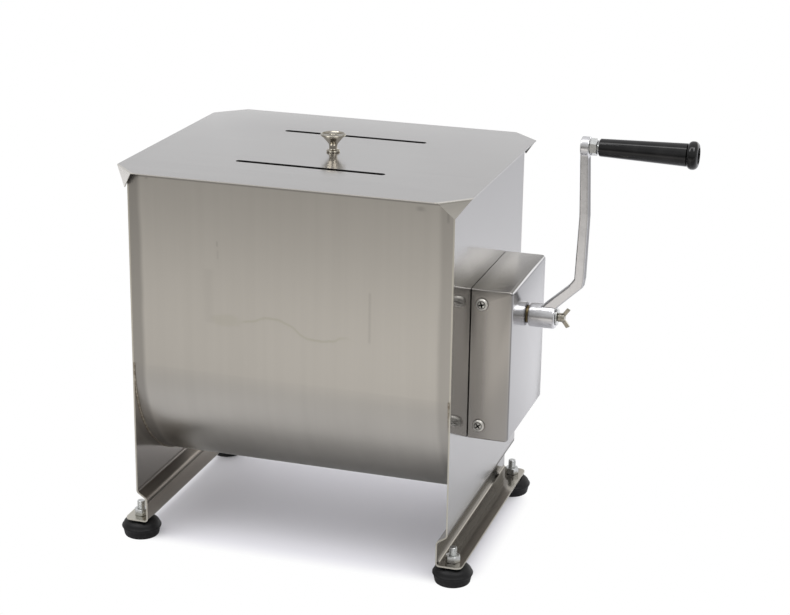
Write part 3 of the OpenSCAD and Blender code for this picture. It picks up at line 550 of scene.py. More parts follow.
def turned(profile, base, axis="Z", steps=72):
    """Spins an outline, as points (radius, distance along the axis), round an axis through base."""
    base = Vector(base)
    along = {"X": Vector((1, 0, 0)), "Y": Vector((0, 1, 0)), "Z": Vector((0, 0, 1))}[axis]
    across = Vector((1, 0, 0)) if axis == "Z" else Vector((0, 0, 1))
    points = [base + across * radius + along * reach for radius, reach in profile]
    piece = flat_square(points[0], mm)
    bpy.ops.mesh.merge(type="CENTER")
    for last, point in zip(points, points[1:]):
        bpy.ops.mesh.extrude_vertices_move(TRANSFORM_OT_translate={"value": point - last})
    bpy.ops.mesh.select_all(action="SELECT")
    bpy.ops.mesh.spin(steps=steps, angle=2 * math.pi, center=base, axis=along)
    clean_mesh()
    done()
    set_place(piece)
    return piece


def rubber_coat(point):
    """Matt black rubber with a fine moulded grain, greyed by dust towards the floor."""
    grain = noise(point, 1800)
    cloud = noise(point, 90, 4)
    dust = point.axes()[2].ramp(foot_dust_z, 0) * 0.6 + cloud.ramp(0.5, 0.75) * 0.35
    return point.node("BsdfPrincipled", values={
        "Base Color": dust.mix(*rubber_tints),
        "Roughness": 0.42 + cloud * 0.2, "Specular IOR Level": 0.3,
        "Normal": bumped(grain, 0.12, 0.2 * mm)})


rubber = finish("foot_rubber", rubber_coat)
foot_centre = Vector((foot_low.x + foot_r, foot_low.y + foot_r, 0))
foot_dome = (foot_r - foot_crown_r - foot_edge, foot_top - foot_neck - foot_rim_z - foot_edge / 2)
first_foot = turned(
    [(0, 0)]
    + arc((foot_base_r - foot_base_edge, foot_base_edge), foot_base_edge, -90, -12, 6)
    + [(foot_r - foot_edge, foot_rim_z - foot_rim_h)]
    + arc((foot_r - foot_edge, foot_rim_z - foot_edge / 2), foot_edge, -40, 60, 6)
    + arc((foot_crown_r, foot_rim_z + foot_edge / 2), foot_dome, 14, 90, 12)
    + [(foot_crown_r - foot_neck / 2, foot_top), (0, foot_top)], foot_centre)
smooth(first_foot, 40)
foot_steps = [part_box(name)[0] - foot_low for name in feet]
for name, step in zip(feet, foot_steps):
    button = copy_of(first_foot, step)
    settle(button, name.replace("foot", "rubber"), rubber, "frame", [name])
bpy.data.objects.remove(first_foot)

# Foot studs and nuts: zinc plated steel, the studs with a rolled thread that shows above the nuts.
# The nuts are cold formed hexagons with turned corners, tightened down on the flanges.
stud_low, stud_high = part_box("foot_studs")
thread_pitch = 1.25 * mm
thread_depth = 0.25 * mm
thread_steps = 24
nut_low, nut_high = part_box("foot_nuts")
nut_across = 13 * mm
zinc_tint = (0.68, 0.69, 0.68)


def close_ends():
    """In edit mode, fills the open ends of a shell and cleans it."""
    choose("edges", lambda edge: len(edge.link_faces) == 1)
    bpy.ops.mesh.edge_face_add()
    clean_mesh()


def thread(base, axis, radius, length):
    """A rolled thread: a turned core, and a triangle that climbs round it by the Screw modifier."""
    root = radius - thread_depth
    end = length - thread_depth
    core_outline = [(0, 0), (root, 0), (root, end), (root - thread_depth, length), (0, length)]
    core = turned(core_outline, base, axis, 32)
    deselect()
    bpy.ops.mesh.primitive_circle_add(vertices=3, radius=thread_depth, location=base)
    ridge = bpy.context.object
    edit(ridge)
    bpy.ops.transform.rotate(value=math.pi / 2, orient_axis="X", center_override=base)
    out = root + thread_depth * 0.35
    bpy.ops.transform.translate(value=(out, 0, thread_depth) if axis == "Z" else (thread_depth, 0, out))
    done()
    turns = int((end - thread_depth) / thread_pitch)
    apply_modifier(
        ridge, "SCREW", axis=axis, screw_offset=thread_pitch, iterations=turns,
        steps=thread_steps, render_steps=thread_steps)
    edit(ridge)
    close_ends()
    done()
    return joined([core, ridge])


def hex_nut(base, axis, across, height, bore):
    """A hexagon nut along an axis: the part of a prism that lies in a ring with coned ends."""
    corner = across / math.sqrt(3)
    chamfer_r = across * 0.47
    run = corner - chamfer_r
    slope = run * math.tan(math.radians(30))
    nut = turned([(0, 0), (corner, 0), (corner, height), (0, height)], base, axis, 6)
    ring = [(bore, -slope), (chamfer_r - run, -slope), (corner + run, 2 * slope),
            (corner + run, height - 2 * slope), (chamfer_r - run, height + slope),
            (bore, height + slope), (bore, -slope)]
    cut(nut, turned(ring, base, axis), "INTERSECT")
    smooth(nut, 25)
    return nut


def plated(point, tint, roughness, spread=0.1):
    """Plated steel: bright, with cloudy patches and fine handling marks."""
    cloud = noise(point, 260, 4)
    speck = noise(point, 2200, 1)
    return point.node("BsdfPrincipled", values={
        "Base Color": cloud.ramp(0.3, 0.7).mix(*shades(tint, spread)), "Metallic": 1.0,
        "Roughness": roughness + (cloud - 0.5) * 0.15 + (speck - 0.5) * 0.05,
        "Normal": bumped(speck, 0.06, 0.1 * mm)})


zinc = finish("zinc_plate", plated, zinc_tint, 0.28, 0.04)
stud_base = foot_centre + Vector((0, 0, stud_low.z))
nut_base = foot_centre + Vector((0, 0, nut_low.z))
first_stud = thread(stud_base, "Z", stud_r, stud_high.z - stud_low.z)
first_nut = hex_nut(nut_base, "Z", nut_across, nut_high.z - nut_low.z, stud_r)
studs = joined([copy_of(first_stud, step) for step in foot_steps])
nuts = joined([copy_of(first_nut, step) for step in foot_steps])
for spare in (first_stud, first_nut):
    bpy.data.objects.remove(spare)
smooth(studs, 30)
settle(studs, "threaded_studs", zinc, "frame", ["foot_studs"])
settle(nuts, "stud_nuts", zinc, "frame", ["foot_nuts"])

# Left pivot: a turned stainless journal inside the tank, held by a nut against a disc outside.
# The disc stiffens the end plate where the pin goes through it.
shaft_tint = (0.6, 0.59, 0.575)


def lathed(point, tint, roughness):
    """Metal turned along the shafts: fine rings left by the tool, and faint clouds of wear."""
    rings = noise(point, (1300, 25, 25))
    cloud = noise(point, 70, 4)
    return point.node("BsdfPrincipled", values={
        "Base Color": (rings * 0.5 + cloud * 0.5).ramp(0.35, 0.65).mix(*shades(tint, 0.08)),
        "Metallic": 1.0, "Roughness": roughness + (rings - 0.5) * 0.12 + (cloud - 0.5) * 0.1,
        "Normal": bumped(rings, 0.12, 0.08 * mm)})


shaft_steel = finish("turned_steel", lathed, shaft_tint, 0.25)
disc_steel = finish("disc_sheet", brushed, "Y", sheet_tint, 0.24, 0.0, 0.1)
pivot_low, pivot_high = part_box("left_pivot_nut")
pivot_nut = hex_nut((pivot_low.x, 0, axis_z), "X", nut_across, pivot_high.x - pivot_low.x, stud_r)
settle(pivot_nut, "pivot_lock_nut", zinc, "frame", ["left_pivot_nut"])
dress(disc_steel, "left_pivot_disc")
dress(shaft_steel, "left_pivot_pin")

# Bearings of the gear side: a milled plate with two bosses, welded on the right end plate.
# It holds a rubber seal, the paddle shaft's bronze bush and the crank shaft's inner bush.
milled_tint = (0.46, 0.46, 0.45)
bronze_tint = (0.58, 0.41, 0.19)
milled_steel = finish("milled_plate", plated, milled_tint, 0.36)
dress(milled_steel, "bearing_plate")
dress(rubber, "shaft_seal")
dress(finish("bush_bronze", lathed, bronze_tint, 0.3), "main_bush", "crank_inner_bush")

# Paddle shaft: a stainless bar with four welded paddles, each a quarter turn on from the last.
# It runs on a white plastic bush at the left, and is pinned to the output shaft at the right.
paddle_tint = (0.6, 0.59, 0.57)
nylon_tints = (0.8, 0.79, 0.76, 1), (0.64, 0.63, 0.6, 1)


def nylon_coat(point):
    """Natural white plastic, a little grey where it rubs."""
    cloud = noise(point, 140, 4)
    return point.node("BsdfPrincipled", values={
        "Base Color": cloud.ramp(0.4, 0.8).mix(*nylon_tints), "Roughness": 0.4 + cloud * 0.2})


paddle_steel = finish("paddle_steel", plated, paddle_tint, 0.3, 0.06)
dress(shaft_steel, "agitator_shaft", "paddle_pins", "coupling_pin", "output_shaft")
dress(paddle_steel, "paddle_1", "paddle_2", "paddle_3", "paddle_4")
dress(finish("nylon", nylon_coat), "agitator_bush")

# Gears: a hobbed drive gear keyed on the output shaft under a ring, and the pinion on the crank shaft.
# They run in grease, which darkens the teeth.
gear_tints = (0.2, 0.2, 0.205, 1), (0.11, 0.1, 0.085, 1)


def greased(point):
    """Dark gear steel with patches of grease that shine."""
    film = noise(point, 120, 4).ramp(0.42, 0.62)
    return point.node("BsdfPrincipled", values={
        "Base Color": film.mix(*gear_tints),
        "Metallic": 0.95 - film * 0.3, "Roughness": 0.42 - film * 0.2,
        "Normal": bumped(film, 0.2, 0.3 * mm)})


dress(finish("gear_steel", greased), "drive_gear", "pinion")
dress(shaft_steel, "gear_key", "gear_clip", "pinion_key", "crank_shaft")

# Gear cover: a box of brushed stainless sheet with rounded folds, open towards the end plate.
# Four screws hold it on two angle brackets, and a bronze bush in a welded housing comes through its face.
cover_low, cover_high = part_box("gearbox_cover")
cover_z = (cover_low.z + cover_high.z) / 2
cover_half = (cover_high.z - cover_low.z) / 2
cover_fold = 4 * mm
cover_edge = 1.8 * mm
cover_lip = 1.1 * mm
cover_side_lip = 0.7 * mm
bush_low, bush_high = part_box("crank_outer_bush")
crank_z = (bush_low.z + bush_high.z) / 2
screw_low, screw_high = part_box("cover_screws")
screw_head_r = 6 * mm
screw_r = 3 * mm
screw_x = (screw_low.x + screw_high.x) / 2
screw_z = screw_low.z + screw_head_r
screw_step = Vector((0, 0, screw_high.z - screw_low.z - 2 * screw_head_r))
cover_tint = (0.47, 0.45, 0.425)
# Colour of the painted shade on the cover's top and of the painted shadow round the screw heads.
cover_shade_tint = (0.1, 0.09, 0.08, 1)
screw_shadow_ring = 1 * mm
face_shade_tints = (0.38, 0.377, 0.384, 1), (0.48, 0.475, 0.48, 1)
gap_shade_tint = (0.05, 0.045, 0.04)
worn_bronze_tint = (0.2, 0.155, 0.08)


def box_between(low, high):
    """A box between two corners."""
    deselect()
    centre = (low + high) / 2
    bpy.ops.mesh.primitive_cube_add(size=1, location=centre)
    piece = bpy.context.object
    edit(piece)
    resize(centre, *(high - low))
    done()
    set_place(piece)
    return piece


def walled(edge):
    """Whether an edge runs round the cover's front or back wall."""
    return len(edge.link_faces) == 2 and sum(abs(face.normal.y) > 0.9 for face in edge.link_faces) == 1


def on_lip(vert):
    """Whether a point of the open edge belongs to the top or the bottom."""
    return vert.co.x < cover_low.x and abs(vert.co.z - cover_z) > cover_half - cover_edge / 2


cover = box_between(cover_low, cover_high)
edit(cover)
choose("faces", lambda face: face.normal.x < -0.9)
bpy.ops.mesh.delete(type="FACE")
choose("edges", lambda edge: len(edge.link_faces) == 2 and not walled(edge))
bpy.ops.mesh.bevel(offset=cover_fold, segments=6, affect="EDGES")
choose("edges", walled)
bpy.ops.mesh.bevel(offset=cover_edge, segments=4, affect="EDGES")
choose("verts", lambda vert: near(vert.co.x, cover_low.x))
bpy.ops.transform.translate(value=(-cover_side_lip, 0, 0))
choose("verts", on_lip)
bpy.ops.transform.translate(value=(cover_side_lip - cover_lip, 0, 0))
done()
apply_modifier(cover, "SOLIDIFY", thickness=sheet, offset=-1, use_even_offset=True)
cut(cover, rod((cover_high.x, 0, crank_z), "X", (bush_high.z - bush_low.z) / 2, 6 * sheet))
for side in (-1, 1):
    for step in (Vector(), screw_step):
        cut(cover, rod(Vector((screw_x, side * cover_high.y, screw_z)) + step, "Y", screw_r, 6 * sheet))
smooth(cover)


def from_screw(x, z):
    """The distance from the axis of the nearest cover screw."""
    above = abs(z - screw_z).smaller(abs(z - screw_z - screw_step.z))
    return (x - screw_x).diagonal(above)


def cover_marks(point, colour, gloss):
    """The crank's side is glossier, with painted shade darker towards its top; the top has painted shade,
    and painted shadow rings the screw heads.
    """
    x, y, z = point.axes()
    # Painted shade on the top: strongest by the joint, towards the outer fold and towards the back.
    top = z.ramp(cover_high.z - cover_fold, cover_high.z - 0.3 * mm)
    joint = x.ramp(cover_low.x + 15 * mm, cover_low.x) * 0.4
    patch = x.ramp(cover_low.x + 22 * mm, cover_high.x - cover_fold) * 0.24
    top = top * (joint + patch + y.ramp(cover_low.y, cover_high.y) * 0.26 + 0.06)
    # Painted shadow in a ring round each screw head.
    screw_shadow = from_screw(x, z).ramp(screw_head_r + screw_shadow_ring, screw_head_r + 0.3 * screw_shadow_ring)
    screw_shadow = screw_shadow * abs(y).ramp(cover_high.y - cover_edge, cover_high.y - 0.2 * mm) * 0.7
    colour = top.larger(screw_shadow).mix(colour, cover_shade_tint)
    # The crank's face is glossier, and has painted shade that darkens it towards the top.
    face = x.ramp(cover_high.x - cover_fold, cover_high.x - 0.3 * mm)
    face_shade = z.ramp(cover_high.z, crank_z - 2 * mm).mix(*face_shade_tints)
    return face.mix(colour, face_shade), gloss - face * 0.08


cover_steel = finish("cover_sheet", brushed, "XY", cover_tint, 0.24, 0.2, 0.12, cover_marks)
settle(cover, "gear_cover", cover_steel, "frame", ["gearbox_cover"])
# The brackets are painted nearly black, as shade in the gap between the cover and the end plate.
dress(finish("gap_shade_black", plated, gap_shade_tint, 0.5), "cover_bracket_front", "cover_bracket_back")
dress(milled_steel, "bush_housing")
dress(finish("worn_bronze", lathed, worn_bronze_tint, 0.4), "crank_outer_bush")
dress(zinc, "cover_nuts")

# Cover screws: zinc plated pan heads with a tapered cross recess, two on the cover's front and two behind.
# They go through the cover and its brackets into nuts.
screw_head_h = screw_high.y - cover_high.y
screw_length = 14 * mm
recess_reach = 3.7 * mm
recess_width = 1.7 * mm
recess_depth = 2.6 * mm
recess_taper = 0.45
screw_turns = [40, 15]
screw_tint = (0.86, 0.84, 0.79)
# Black of the painted shade in the screw recesses and of the painted shadow under the heads.
recess_shade_black = (0.01, 0.01, 0.01, 1)


def cover_screw(side):
    """A pan head screw at the lower front or back place, whose head points along side."""
    base = Vector((screw_x, side * cover_high.y, screw_z))
    round_r = (screw_head_r * 0.4, screw_head_h * 0.5)
    rim = arc((screw_head_r * 0.6, screw_head_h * 0.3), round_r, 0, 72, 8)
    dome = rim + [(screw_head_r * 0.4, screw_head_h * 0.93), (0, screw_head_h)]
    outline = [(0, -screw_length), (screw_r, -screw_length), (screw_r, 0), (screw_head_r, 0)] + dome
    screw = turned([(radius, side * reach) for radius, reach in outline], base, "Y", 48)
    top = base + Vector((0, side * (screw_head_h + 0.2 * mm), 0))
    foot = top - Vector((0, side * recess_depth, 0))
    for wide, high in ((recess_reach, recess_width / 2), (recess_width / 2, recess_reach)):
        reach = Vector((wide, 0, high))
        cross = box_between(foot - reach, top + reach)
        edit(cross)
        choose("verts", lambda vert: near(vert.co.y, foot.y))
        resize(foot, recess_taper, 1, recess_taper)
        bpy.ops.mesh.select_all(action="SELECT")
        bpy.ops.mesh.normals_make_consistent(inside=False)
        done()
        cut(screw, cross)
    return screw


def driven_home(screw, step, angle):
    """A copy of a screw at its place, turned as it was left by the driver."""
    screw = copy_of(screw, step)
    edit(screw)
    centre = Vector((screw_x, 0, screw_z)) + step
    bpy.ops.transform.rotate(value=math.radians(angle), orient_axis="Y", center_override=centre)
    done()
    return screw


patterns = [cover_screw(side) for side in (-1, 1)]
turns = list(zip((Vector(), screw_step), screw_turns))
screws = joined([driven_home(screw, *turn) for screw in patterns for turn in turns])
for pattern in patterns:
    bpy.data.objects.remove(pattern)
smooth(screws, 30)


def screw_coat(point):
    """Dull zinc, with painted shade in the cross recesses and painted shadow in the corner under the heads.
    """
    x, y, z = point.axes()
    cloud = noise(point, 260, 4)
    height = abs(y) - cover_high.y
    # Painted shade in the cross recesses.
    recess = from_screw(x, z).ramp(recess_reach + 0.6 * mm, recess_reach + 0.2 * mm)
    recess = recess * height.ramp(screw_head_h * 0.9, screw_head_h * 0.8)
    # Painted shadow in the corner under the head.
    corner = height.ramp(0.8 * mm, 0.3 * mm)
    metal = cloud.ramp(0.3, 0.7).mix(*shades(screw_tint, 0.08))
    return point.node("BsdfPrincipled", values={
        "Base Color": recess.larger(corner * 0.7).mix(metal, recess_shade_black),
        "Metallic": 1.0, "Roughness": 0.46 + (cloud - 0.5) * 0.15})


settle(screws, "cover_pan_screws", finish("dull_zinc", screw_coat), "frame", ["cover_screws"])

# Crank: one polished casting, with a hub on the crank shaft's flats, a bent arm and a boss for the spindle.
# The skin of the casting is a little uneven, and all its edges are rounded.
crank_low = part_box("crank_arm")[0]
spindle_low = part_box("handle_spindle")[0]
grip_low, grip_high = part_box("grip")
lock_low, lock_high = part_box("handle_nut")
grip_z = (grip_low.z + grip_high.z) / 2
hub_r = 12.25 * mm
hub_length = 27 * mm
hub_end = crank_low.x + hub_length
hub_edge = 2 * mm
boss_r = 9.75 * mm
boss_length = lock_low.x - spindle_low.x
arm_x = lock_low.x - boss_length / 2
arm_width = 12.5 * mm
arm_root_depth = 10.7 * mm
arm_depth = 10 * mm
arm_top_depth = 8.2 * mm
arm_bow = 1.9 * mm
arm_top_gap = 0.8 * mm
arm_edge = 1.3 * mm
arm_turn = 5 * mm
bend_rise = 38 * mm
shaft_r = 7.05 * mm
flats_half = 5.55 * mm
spindle_r = 4.05 * mm
cast_grain = 0.5 * mm
cast_tint = (0.77, 0.768, 0.785)
arm_side_shade_tint = (0.08, 0.079, 0.081, 1)
arm_side_shade_fade = 2 * mm


def drawn_bar(stations, depths, width):
    """A flat bar drawn out from station to station, left open in edit mode with its end selected."""
    bar = flat_square(stations[0])
    resize(stations[0], depths[0], width, 1)
    choose("faces", lambda face: True)
    for step in range(1, len(stations)):
        extrude(*(stations[step] - stations[step - 1]))
        resize(stations[step], depths[step] / depths[step - 1], 1, 1)
    return bar


def climb(edge):
    """How far an edge goes up."""
    return abs(edge.verts[0].co.z - edge.verts[1].co.z)


def arm_bar():
    """The arm: drawn up from the hub, round the bend and up to the boss, with rounded edges."""
    root = Vector((hub_end - hub_r * 0.96, 0, crank_z + hub_r / 2))
    corner = Vector((arm_x, 0, crank_z + bend_rise))
    lead = (corner - root).normalized()
    top = Vector((lock_low.x - arm_top_gap - arm_top_depth / 2, 0, grip_z))
    bow = Vector((arm_x + arm_bow, 0, (corner.z + grip_z) / 2))
    stations = [root, corner - lead * arm_turn, corner + Vector((0, 0, arm_turn)), bow, top]
    depths = [arm_root_depth / lead.z, arm_depth / lead.z, arm_depth, (arm_depth + arm_top_depth) / 2,
              arm_top_depth]
    bar = drawn_bar(stations, depths, arm_width)
    close_ends()
    choose("edges", lambda edge: climb(edge) > arm_turn / 2)
    bpy.ops.mesh.bevel(offset=arm_edge, segments=4, affect="EDGES")
    done()
    return bar


def rounded_drum(radius, length, edge):
    """The half outline of a drum with rounded rims."""
    return ([(0, 0)] + arc((radius - edge, edge), edge, -90, 0, 4)
            + arc((radius - edge, length - edge), edge, 0, 90, 4) + [(0, length)])


hub = turned(rounded_drum(hub_r, hub_length, hub_edge), (crank_low.x, 0, crank_z), "X")
boss = turned(rounded_drum(boss_r, boss_length, hub_edge / 2), (spindle_low.x, 0, grip_z), "X")
crank = joined([hub, boss, arm_bar()])
apply_modifier(crank, "REMESH", mode="VOXEL", voxel_size=cast_grain)
apply_modifier(crank, "SMOOTH", factor=0.5, iterations=3)
shaft_bore = rod((hub_end - hub_length / 2, 0, crank_z), "X", shaft_r, 2 * hub_length)
edit(shaft_bore)
for side in (-1, 1):
    bpy.ops.mesh.select_all(action="SELECT")
    bpy.ops.mesh.bisect(
        plane_co=(0, side * flats_half, 0), plane_no=(0, side, 0), use_fill=True, clear_outer=True)
done()
cut(crank, shaft_bore)
cut(crank, rod((arm_x, 0, grip_z), "X", spindle_r, 2 * boss_length))
smooth(crank, 50)


def cast_coat(point):
    """A polished casting: a soft uneven skin with pores and scuffs, and painted shade on two sides of the
    arm.
    """
    y, z = point.axes()[1:]
    lumps = noise(point, (110, 110, 60))
    pores = noise(point, 900)
    scuff = noise(point, (45, 300, 45), 4)
    metal = (pores * 0.4 + scuff * 0.6).ramp(0.3, 0.65).mix(*shades(cast_tint, 0.07))
    # Painted shade on the arm's two sides that face along the shafts, between hub and boss.
    side_shade = z.ramp(crank_z + hub_r, crank_z + hub_r + arm_side_shade_fade)
    side_shade = side_shade * z.ramp(grip_z - boss_r, grip_z - boss_r - arm_side_shade_fade)
    side_shade = side_shade * abs(y).ramp(arm_width / 2 - 0.4 * mm, arm_width / 2 - 1.4 * mm)
    return point.node("BsdfPrincipled", values={
        "Base Color": (side_shade * 0.92).mix(metal, arm_side_shade_tint),
        "Metallic": 1.0, "Roughness": 0.22 + (scuff - 0.5) * 0.2 + (pores - 0.5) * 0.1,
        "Normal": bumped(lumps, 0.25, 0.6 * mm, bumped(pores, 0.08, 0.1 * mm))})


cast_steel = finish("polished_casting", cast_coat)
settle(crank, "crank_casting", cast_steel, "crank", ["crank_arm"])

# Grip's spindle: a plated bolt through the boss, held by a tall lock nut, its head in the grip's end.
# The grip turns freely on it.
lock_across = 15 * mm
lock_nut = hex_nut((lock_low.x, 0, grip_z), "X", lock_across, lock_high.x - lock_low.x, spindle_r)
settle(lock_nut, "grip_lock_nut", zinc, "crank", ["handle_nut"])
dress(zinc, "handle_spindle")

# Grip: glossy black plastic, moulded as a slim taper with a round collar at the outer end.
# The collar is hollowed for the spindle's head.
grip_length = grip_high.x - grip_low.x
collar_r = 13.7 * mm
collar_length = 10.8 * mm
collar_round = 4.9 * mm
collar_start = grip_length - collar_length
collar_gap = 0.2 * mm
neck_r = 8.7 * mm
waist_r = 11.2 * mm
recess_r = 8 * mm
recess_deep = 6 * mm
recess_edge = 0.5 * mm
grip_edge = 1.6 * mm
plastic_tints = (0.004, 0.004, 0.0043, 1), (0.009, 0.0088, 0.0088, 1)


def gloss_plastic(point):
    """Glossy black plastic with fine rubbing marks and a little dust."""
    cloud = noise(point, 60, 4)
    rub = noise(point, (900, 90, 90), 3)
    ripple = noise(point, (45, 90, 90), 1)
    return point.node("BsdfPrincipled", values={
        "Base Color": cloud.ramp(0.45, 0.75).mix(*plastic_tints),
        "Roughness": 0.05 + cloud * 0.05 + (rub - 0.5) * 0.04, "Specular IOR Level": 0.42,
        "Normal": bumped(ripple, 0.06, 0.5 * mm)})


grip_piece = turned(
    [(spindle_r, 0)]
    + arc((neck_r - grip_edge, grip_edge), grip_edge, -90, -2, 6)
    + [(waist_r, collar_start - collar_gap)]
    + arc((collar_r - collar_round, collar_start + collar_round), collar_round, -90, 0, 9)
    + arc((collar_r - collar_round, grip_length - collar_round), collar_round, 0, 90, 9)
    + arc((recess_r + recess_edge, grip_length - recess_edge), recess_edge, 90, 180, 3)
    + [(recess_r, grip_length - recess_deep), (spindle_r, grip_length - recess_deep), (spindle_r, 0)],
    (grip_low.x, 0, grip_z), "X", 96)
smooth(grip_piece, 30)
grip_plastic = finish("grip_plastic", gloss_plastic)
settle(grip_piece, "grip_handle", grip_plastic, "grip", ["grip"])

# Wing screw and washer: they hold the crank on its shaft. The screw is a dull nickel plated casting.
# Its two wings are squared bars that spread from the boss in a V.
washer_low, washer_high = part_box("wing_washer")
wing_low, wing_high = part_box("wing_screw")
washer_r = (washer_high.z - washer_low.z) / 2
washer_length = washer_high.x - washer_low.x
washer_edge = 0.3 * mm
wing_head_x = washer_high.x + 0.2 * mm
wing_boss_r = 4.6 * mm
wing_boss_length = 7 * mm
wing_boss_edge = 0.8 * mm
wing_root = 5 * mm
wing_end = 4 * mm
wing_tilt = 28
wing_thick = 3 * mm
wing_grain = 0.3 * mm
wing_thread_r = 3 * mm
wing_shank_end = wing_head_x + 2 * mm
dull_nickel_tint = (0.43, 0.405, 0.345)


def wing(side):
    """One wing: a bar drawn out of the boss towards its squared end."""
    foot = Vector((wing_head_x + wing_boss_length / 2, 0, crank_z))
    spread = wing_high.z - crank_z - wing_end * 0.2
    tip = Vector((wing_high.x - wing_end / 2, 0, crank_z + side * spread))
    bar = drawn_bar([foot, tip], [wing_root, wing_end], wing_thick)
    bpy.ops.transform.rotate(value=-side * math.radians(wing_tilt), orient_axis="Y", center_override=tip)
    close_ends()
    done()
    return bar


wing_drum = rounded_drum(wing_boss_r, wing_boss_length, wing_boss_edge)
wing_boss = turned(wing_drum, (wing_head_x, 0, crank_z), "X")
wing_head = joined([wing_boss, wing(-1), wing(1)])
apply_modifier(wing_head, "REMESH", mode="VOXEL", voxel_size=wing_grain)
apply_modifier(wing_head, "SMOOTH", factor=0.5, iterations=4)
wing_shank = thread((wing_low.x, 0, crank_z), "X", wing_thread_r, wing_shank_end - wing_low.x)
wing_piece = joined([wing_head, wing_shank])
smooth(wing_piece, 40)
dull_nickel = finish("dull_nickel", plated, dull_nickel_tint, 0.24, 0.14)
settle(wing_piece, "wing_bolt", dull_nickel, "wing_screw", ["wing_screw"])
wing_ring = turned(
    [(wing_thread_r, 0), (washer_r - washer_edge, 0), (washer_r, washer_edge),
     (washer_r, washer_length - washer_edge), (washer_r - washer_edge, washer_length),
     (wing_thread_r, washer_length), (wing_thread_r, 0)],
    (washer_low.x, 0, (washer_low.z + washer_high.z) / 2), "X")
smooth(wing_ring, 25)
settle(wing_ring, "wing_ring", zinc, "wing_washer", ["wing_washer"])

# Lid: one loose sheet of brushed stainless steel that rests on the tank's rim, with two long slots.
# Its corners are cut across, and the cut edges are folded down as small three-cornered flaps.
lid_low, lid_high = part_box("lid")
lid_middle = Vector(((lid_low.x + lid_high.x) / 2, 0, lid_high.z))
lid_sheet = 1 * mm
lid_corner = 27 * mm
lid_fold = 1.2 * mm
lid_fold_reach = lid_high.x - lid_middle.x + lid_high.y - lid_corner
slot_length = 155 * mm
slot_width = 7 * mm
slot_y = 69 * mm
knob_screw_r = 2.3 * mm
lid_tint = (0.62, 0.61, 0.6)
flap_highlight_tint = (0.84, 0.81, 0.74, 1)
flap_shade_black = (0.02, 0.02, 0.02, 1)


def slanted(edge):
    """Whether an edge runs across a corner."""
    run = edge.verts[0].co - edge.verts[1].co
    return abs(run.x) > lid_fold and abs(run.y) > lid_fold


lid = flat_square(lid_middle)
resize(lid_middle, lid_high.x - lid_low.x, lid_high.y - lid_low.y, 1)
bpy.ops.mesh.bevel(offset=lid_corner, segments=1, affect="VERTICES")
choose("edges", slanted)
extrude(0, 0, lid_low.z - lid_high.z)
bpy.ops.mesh.merge(type="COLLAPSE")
choose("edges", lambda edge: slanted(edge) and len(edge.link_faces) == 2)
bpy.ops.mesh.bevel(offset=lid_fold, segments=4, affect="EDGES")
done()
set_place(lid)
apply_modifier(lid, "SOLIDIFY", thickness=lid_sheet, offset=-1, use_even_offset=True)
for side in (-1, 1):
    reach = Vector((slot_length / 2, slot_width / 2, 3 * lid_sheet))
    slot_middle = lid_middle + Vector((0, side * slot_y, 0))
    slot = box_between(slot_middle - reach, slot_middle + reach)
    edit(slot)
    choose("edges", lambda edge: climb(edge) > lid_sheet)
    bpy.ops.mesh.bevel(offset=slot_width * 0.49, segments=8, affect="EDGES")
    done()
    cut(lid, slot)
cut(lid, rod(lid_middle, "Z", knob_screw_r, 6 * lid_sheet))
smooth(lid)


def lid_marks(point, colour, gloss):
    """The flaps and their creases have a painted highlight outside, and painted shade inside."""
    x, y, z = point.axes()
    out = abs(x - lid_middle.x) + abs(y)
    # Painted shade on the flaps' inner faces, and a painted highlight on the creases and the flaps' outer
    # faces.
    inside = out.ramp(lid_fold_reach - 0.6 * mm, lid_fold_reach - 1 * mm)
    crease_highlight = out.ramp(lid_fold_reach - 3 * mm, lid_fold_reach - 1.5 * mm)
    flap = z.ramp(lid_high.z - 1.5 * mm, lid_high.z - 3 * mm)
    colour = (crease_highlight.larger(flap) * 0.7).mix(colour, flap_highlight_tint)
    return (inside * flap * 0.95).mix(colour, flap_shade_black), gloss + flap * 0.1


lid_steel = finish("lid_sheet", brushed, "Y", lid_tint, 0.18, 0.0, 0.5, lid_marks)
settle(lid, "lid_sheet", lid_steel, "lid", ["lid"])

# Lid knob: turned brass under bright nickel, like a small trumpet that stands on its base.
# The disc has a beaded rim and a raised button in a hollow, and a screw holds it from under the lid.
knob_low, knob_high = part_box("lid_knob")
knob_r = (knob_high.x - knob_low.x) / 2
rim_height = 17.7 * mm
rim_r = 1.1 * mm
button_r = 4.2 * mm
button_gap = 0.9 * mm
button_height = 1.2 * mm
stem_r = 4.1 * mm
base_bead = 1.2 * mm
base_r = 7 * mm
hollow_r = 1.9 * mm
flare_r = 5.6 * mm
flare_z = 5.7 * mm
knob_tint = (0.395, 0.365, 0.31)
knob_base = Vector(((knob_low.x + knob_high.x) / 2, 0, knob_low.z))
disc_top = rim_height + rim_r
button_size = (button_r, button_height + 0.5 * rim_r)
knob = turned(
    [(0, 0)]
    + arc((base_r - base_bead, base_bead), base_bead, -90, 90, 10)
    + arc((stem_r + hollow_r, 2 * base_bead + hollow_r), hollow_r, 270, 180, 8)
    + arc((stem_r + flare_r, flare_z), flare_r, 180, 135, 8)
    + [(knob_r - 1.3 * rim_r, rim_height - rim_r)]
    + arc((knob_r - rim_r, rim_height), rim_r, -85, 150, 14)
    + [(knob_r - 2.6 * rim_r, disc_top - 1.1 * rim_r), (button_r + button_gap, disc_top - 0.9 * rim_r)]
    + arc((0, disc_top - 0.5 * rim_r), button_size, 0, 90, 10), knob_base, steps=96)
smooth(knob, 40)
bright_nickel = finish("bright_nickel", plated, knob_tint, 0.1, 0.05)
settle(knob, "nickel_knob", bright_nickel, "lid", ["lid_knob"])
dress(zinc, "knob_washer", "knob_screw")

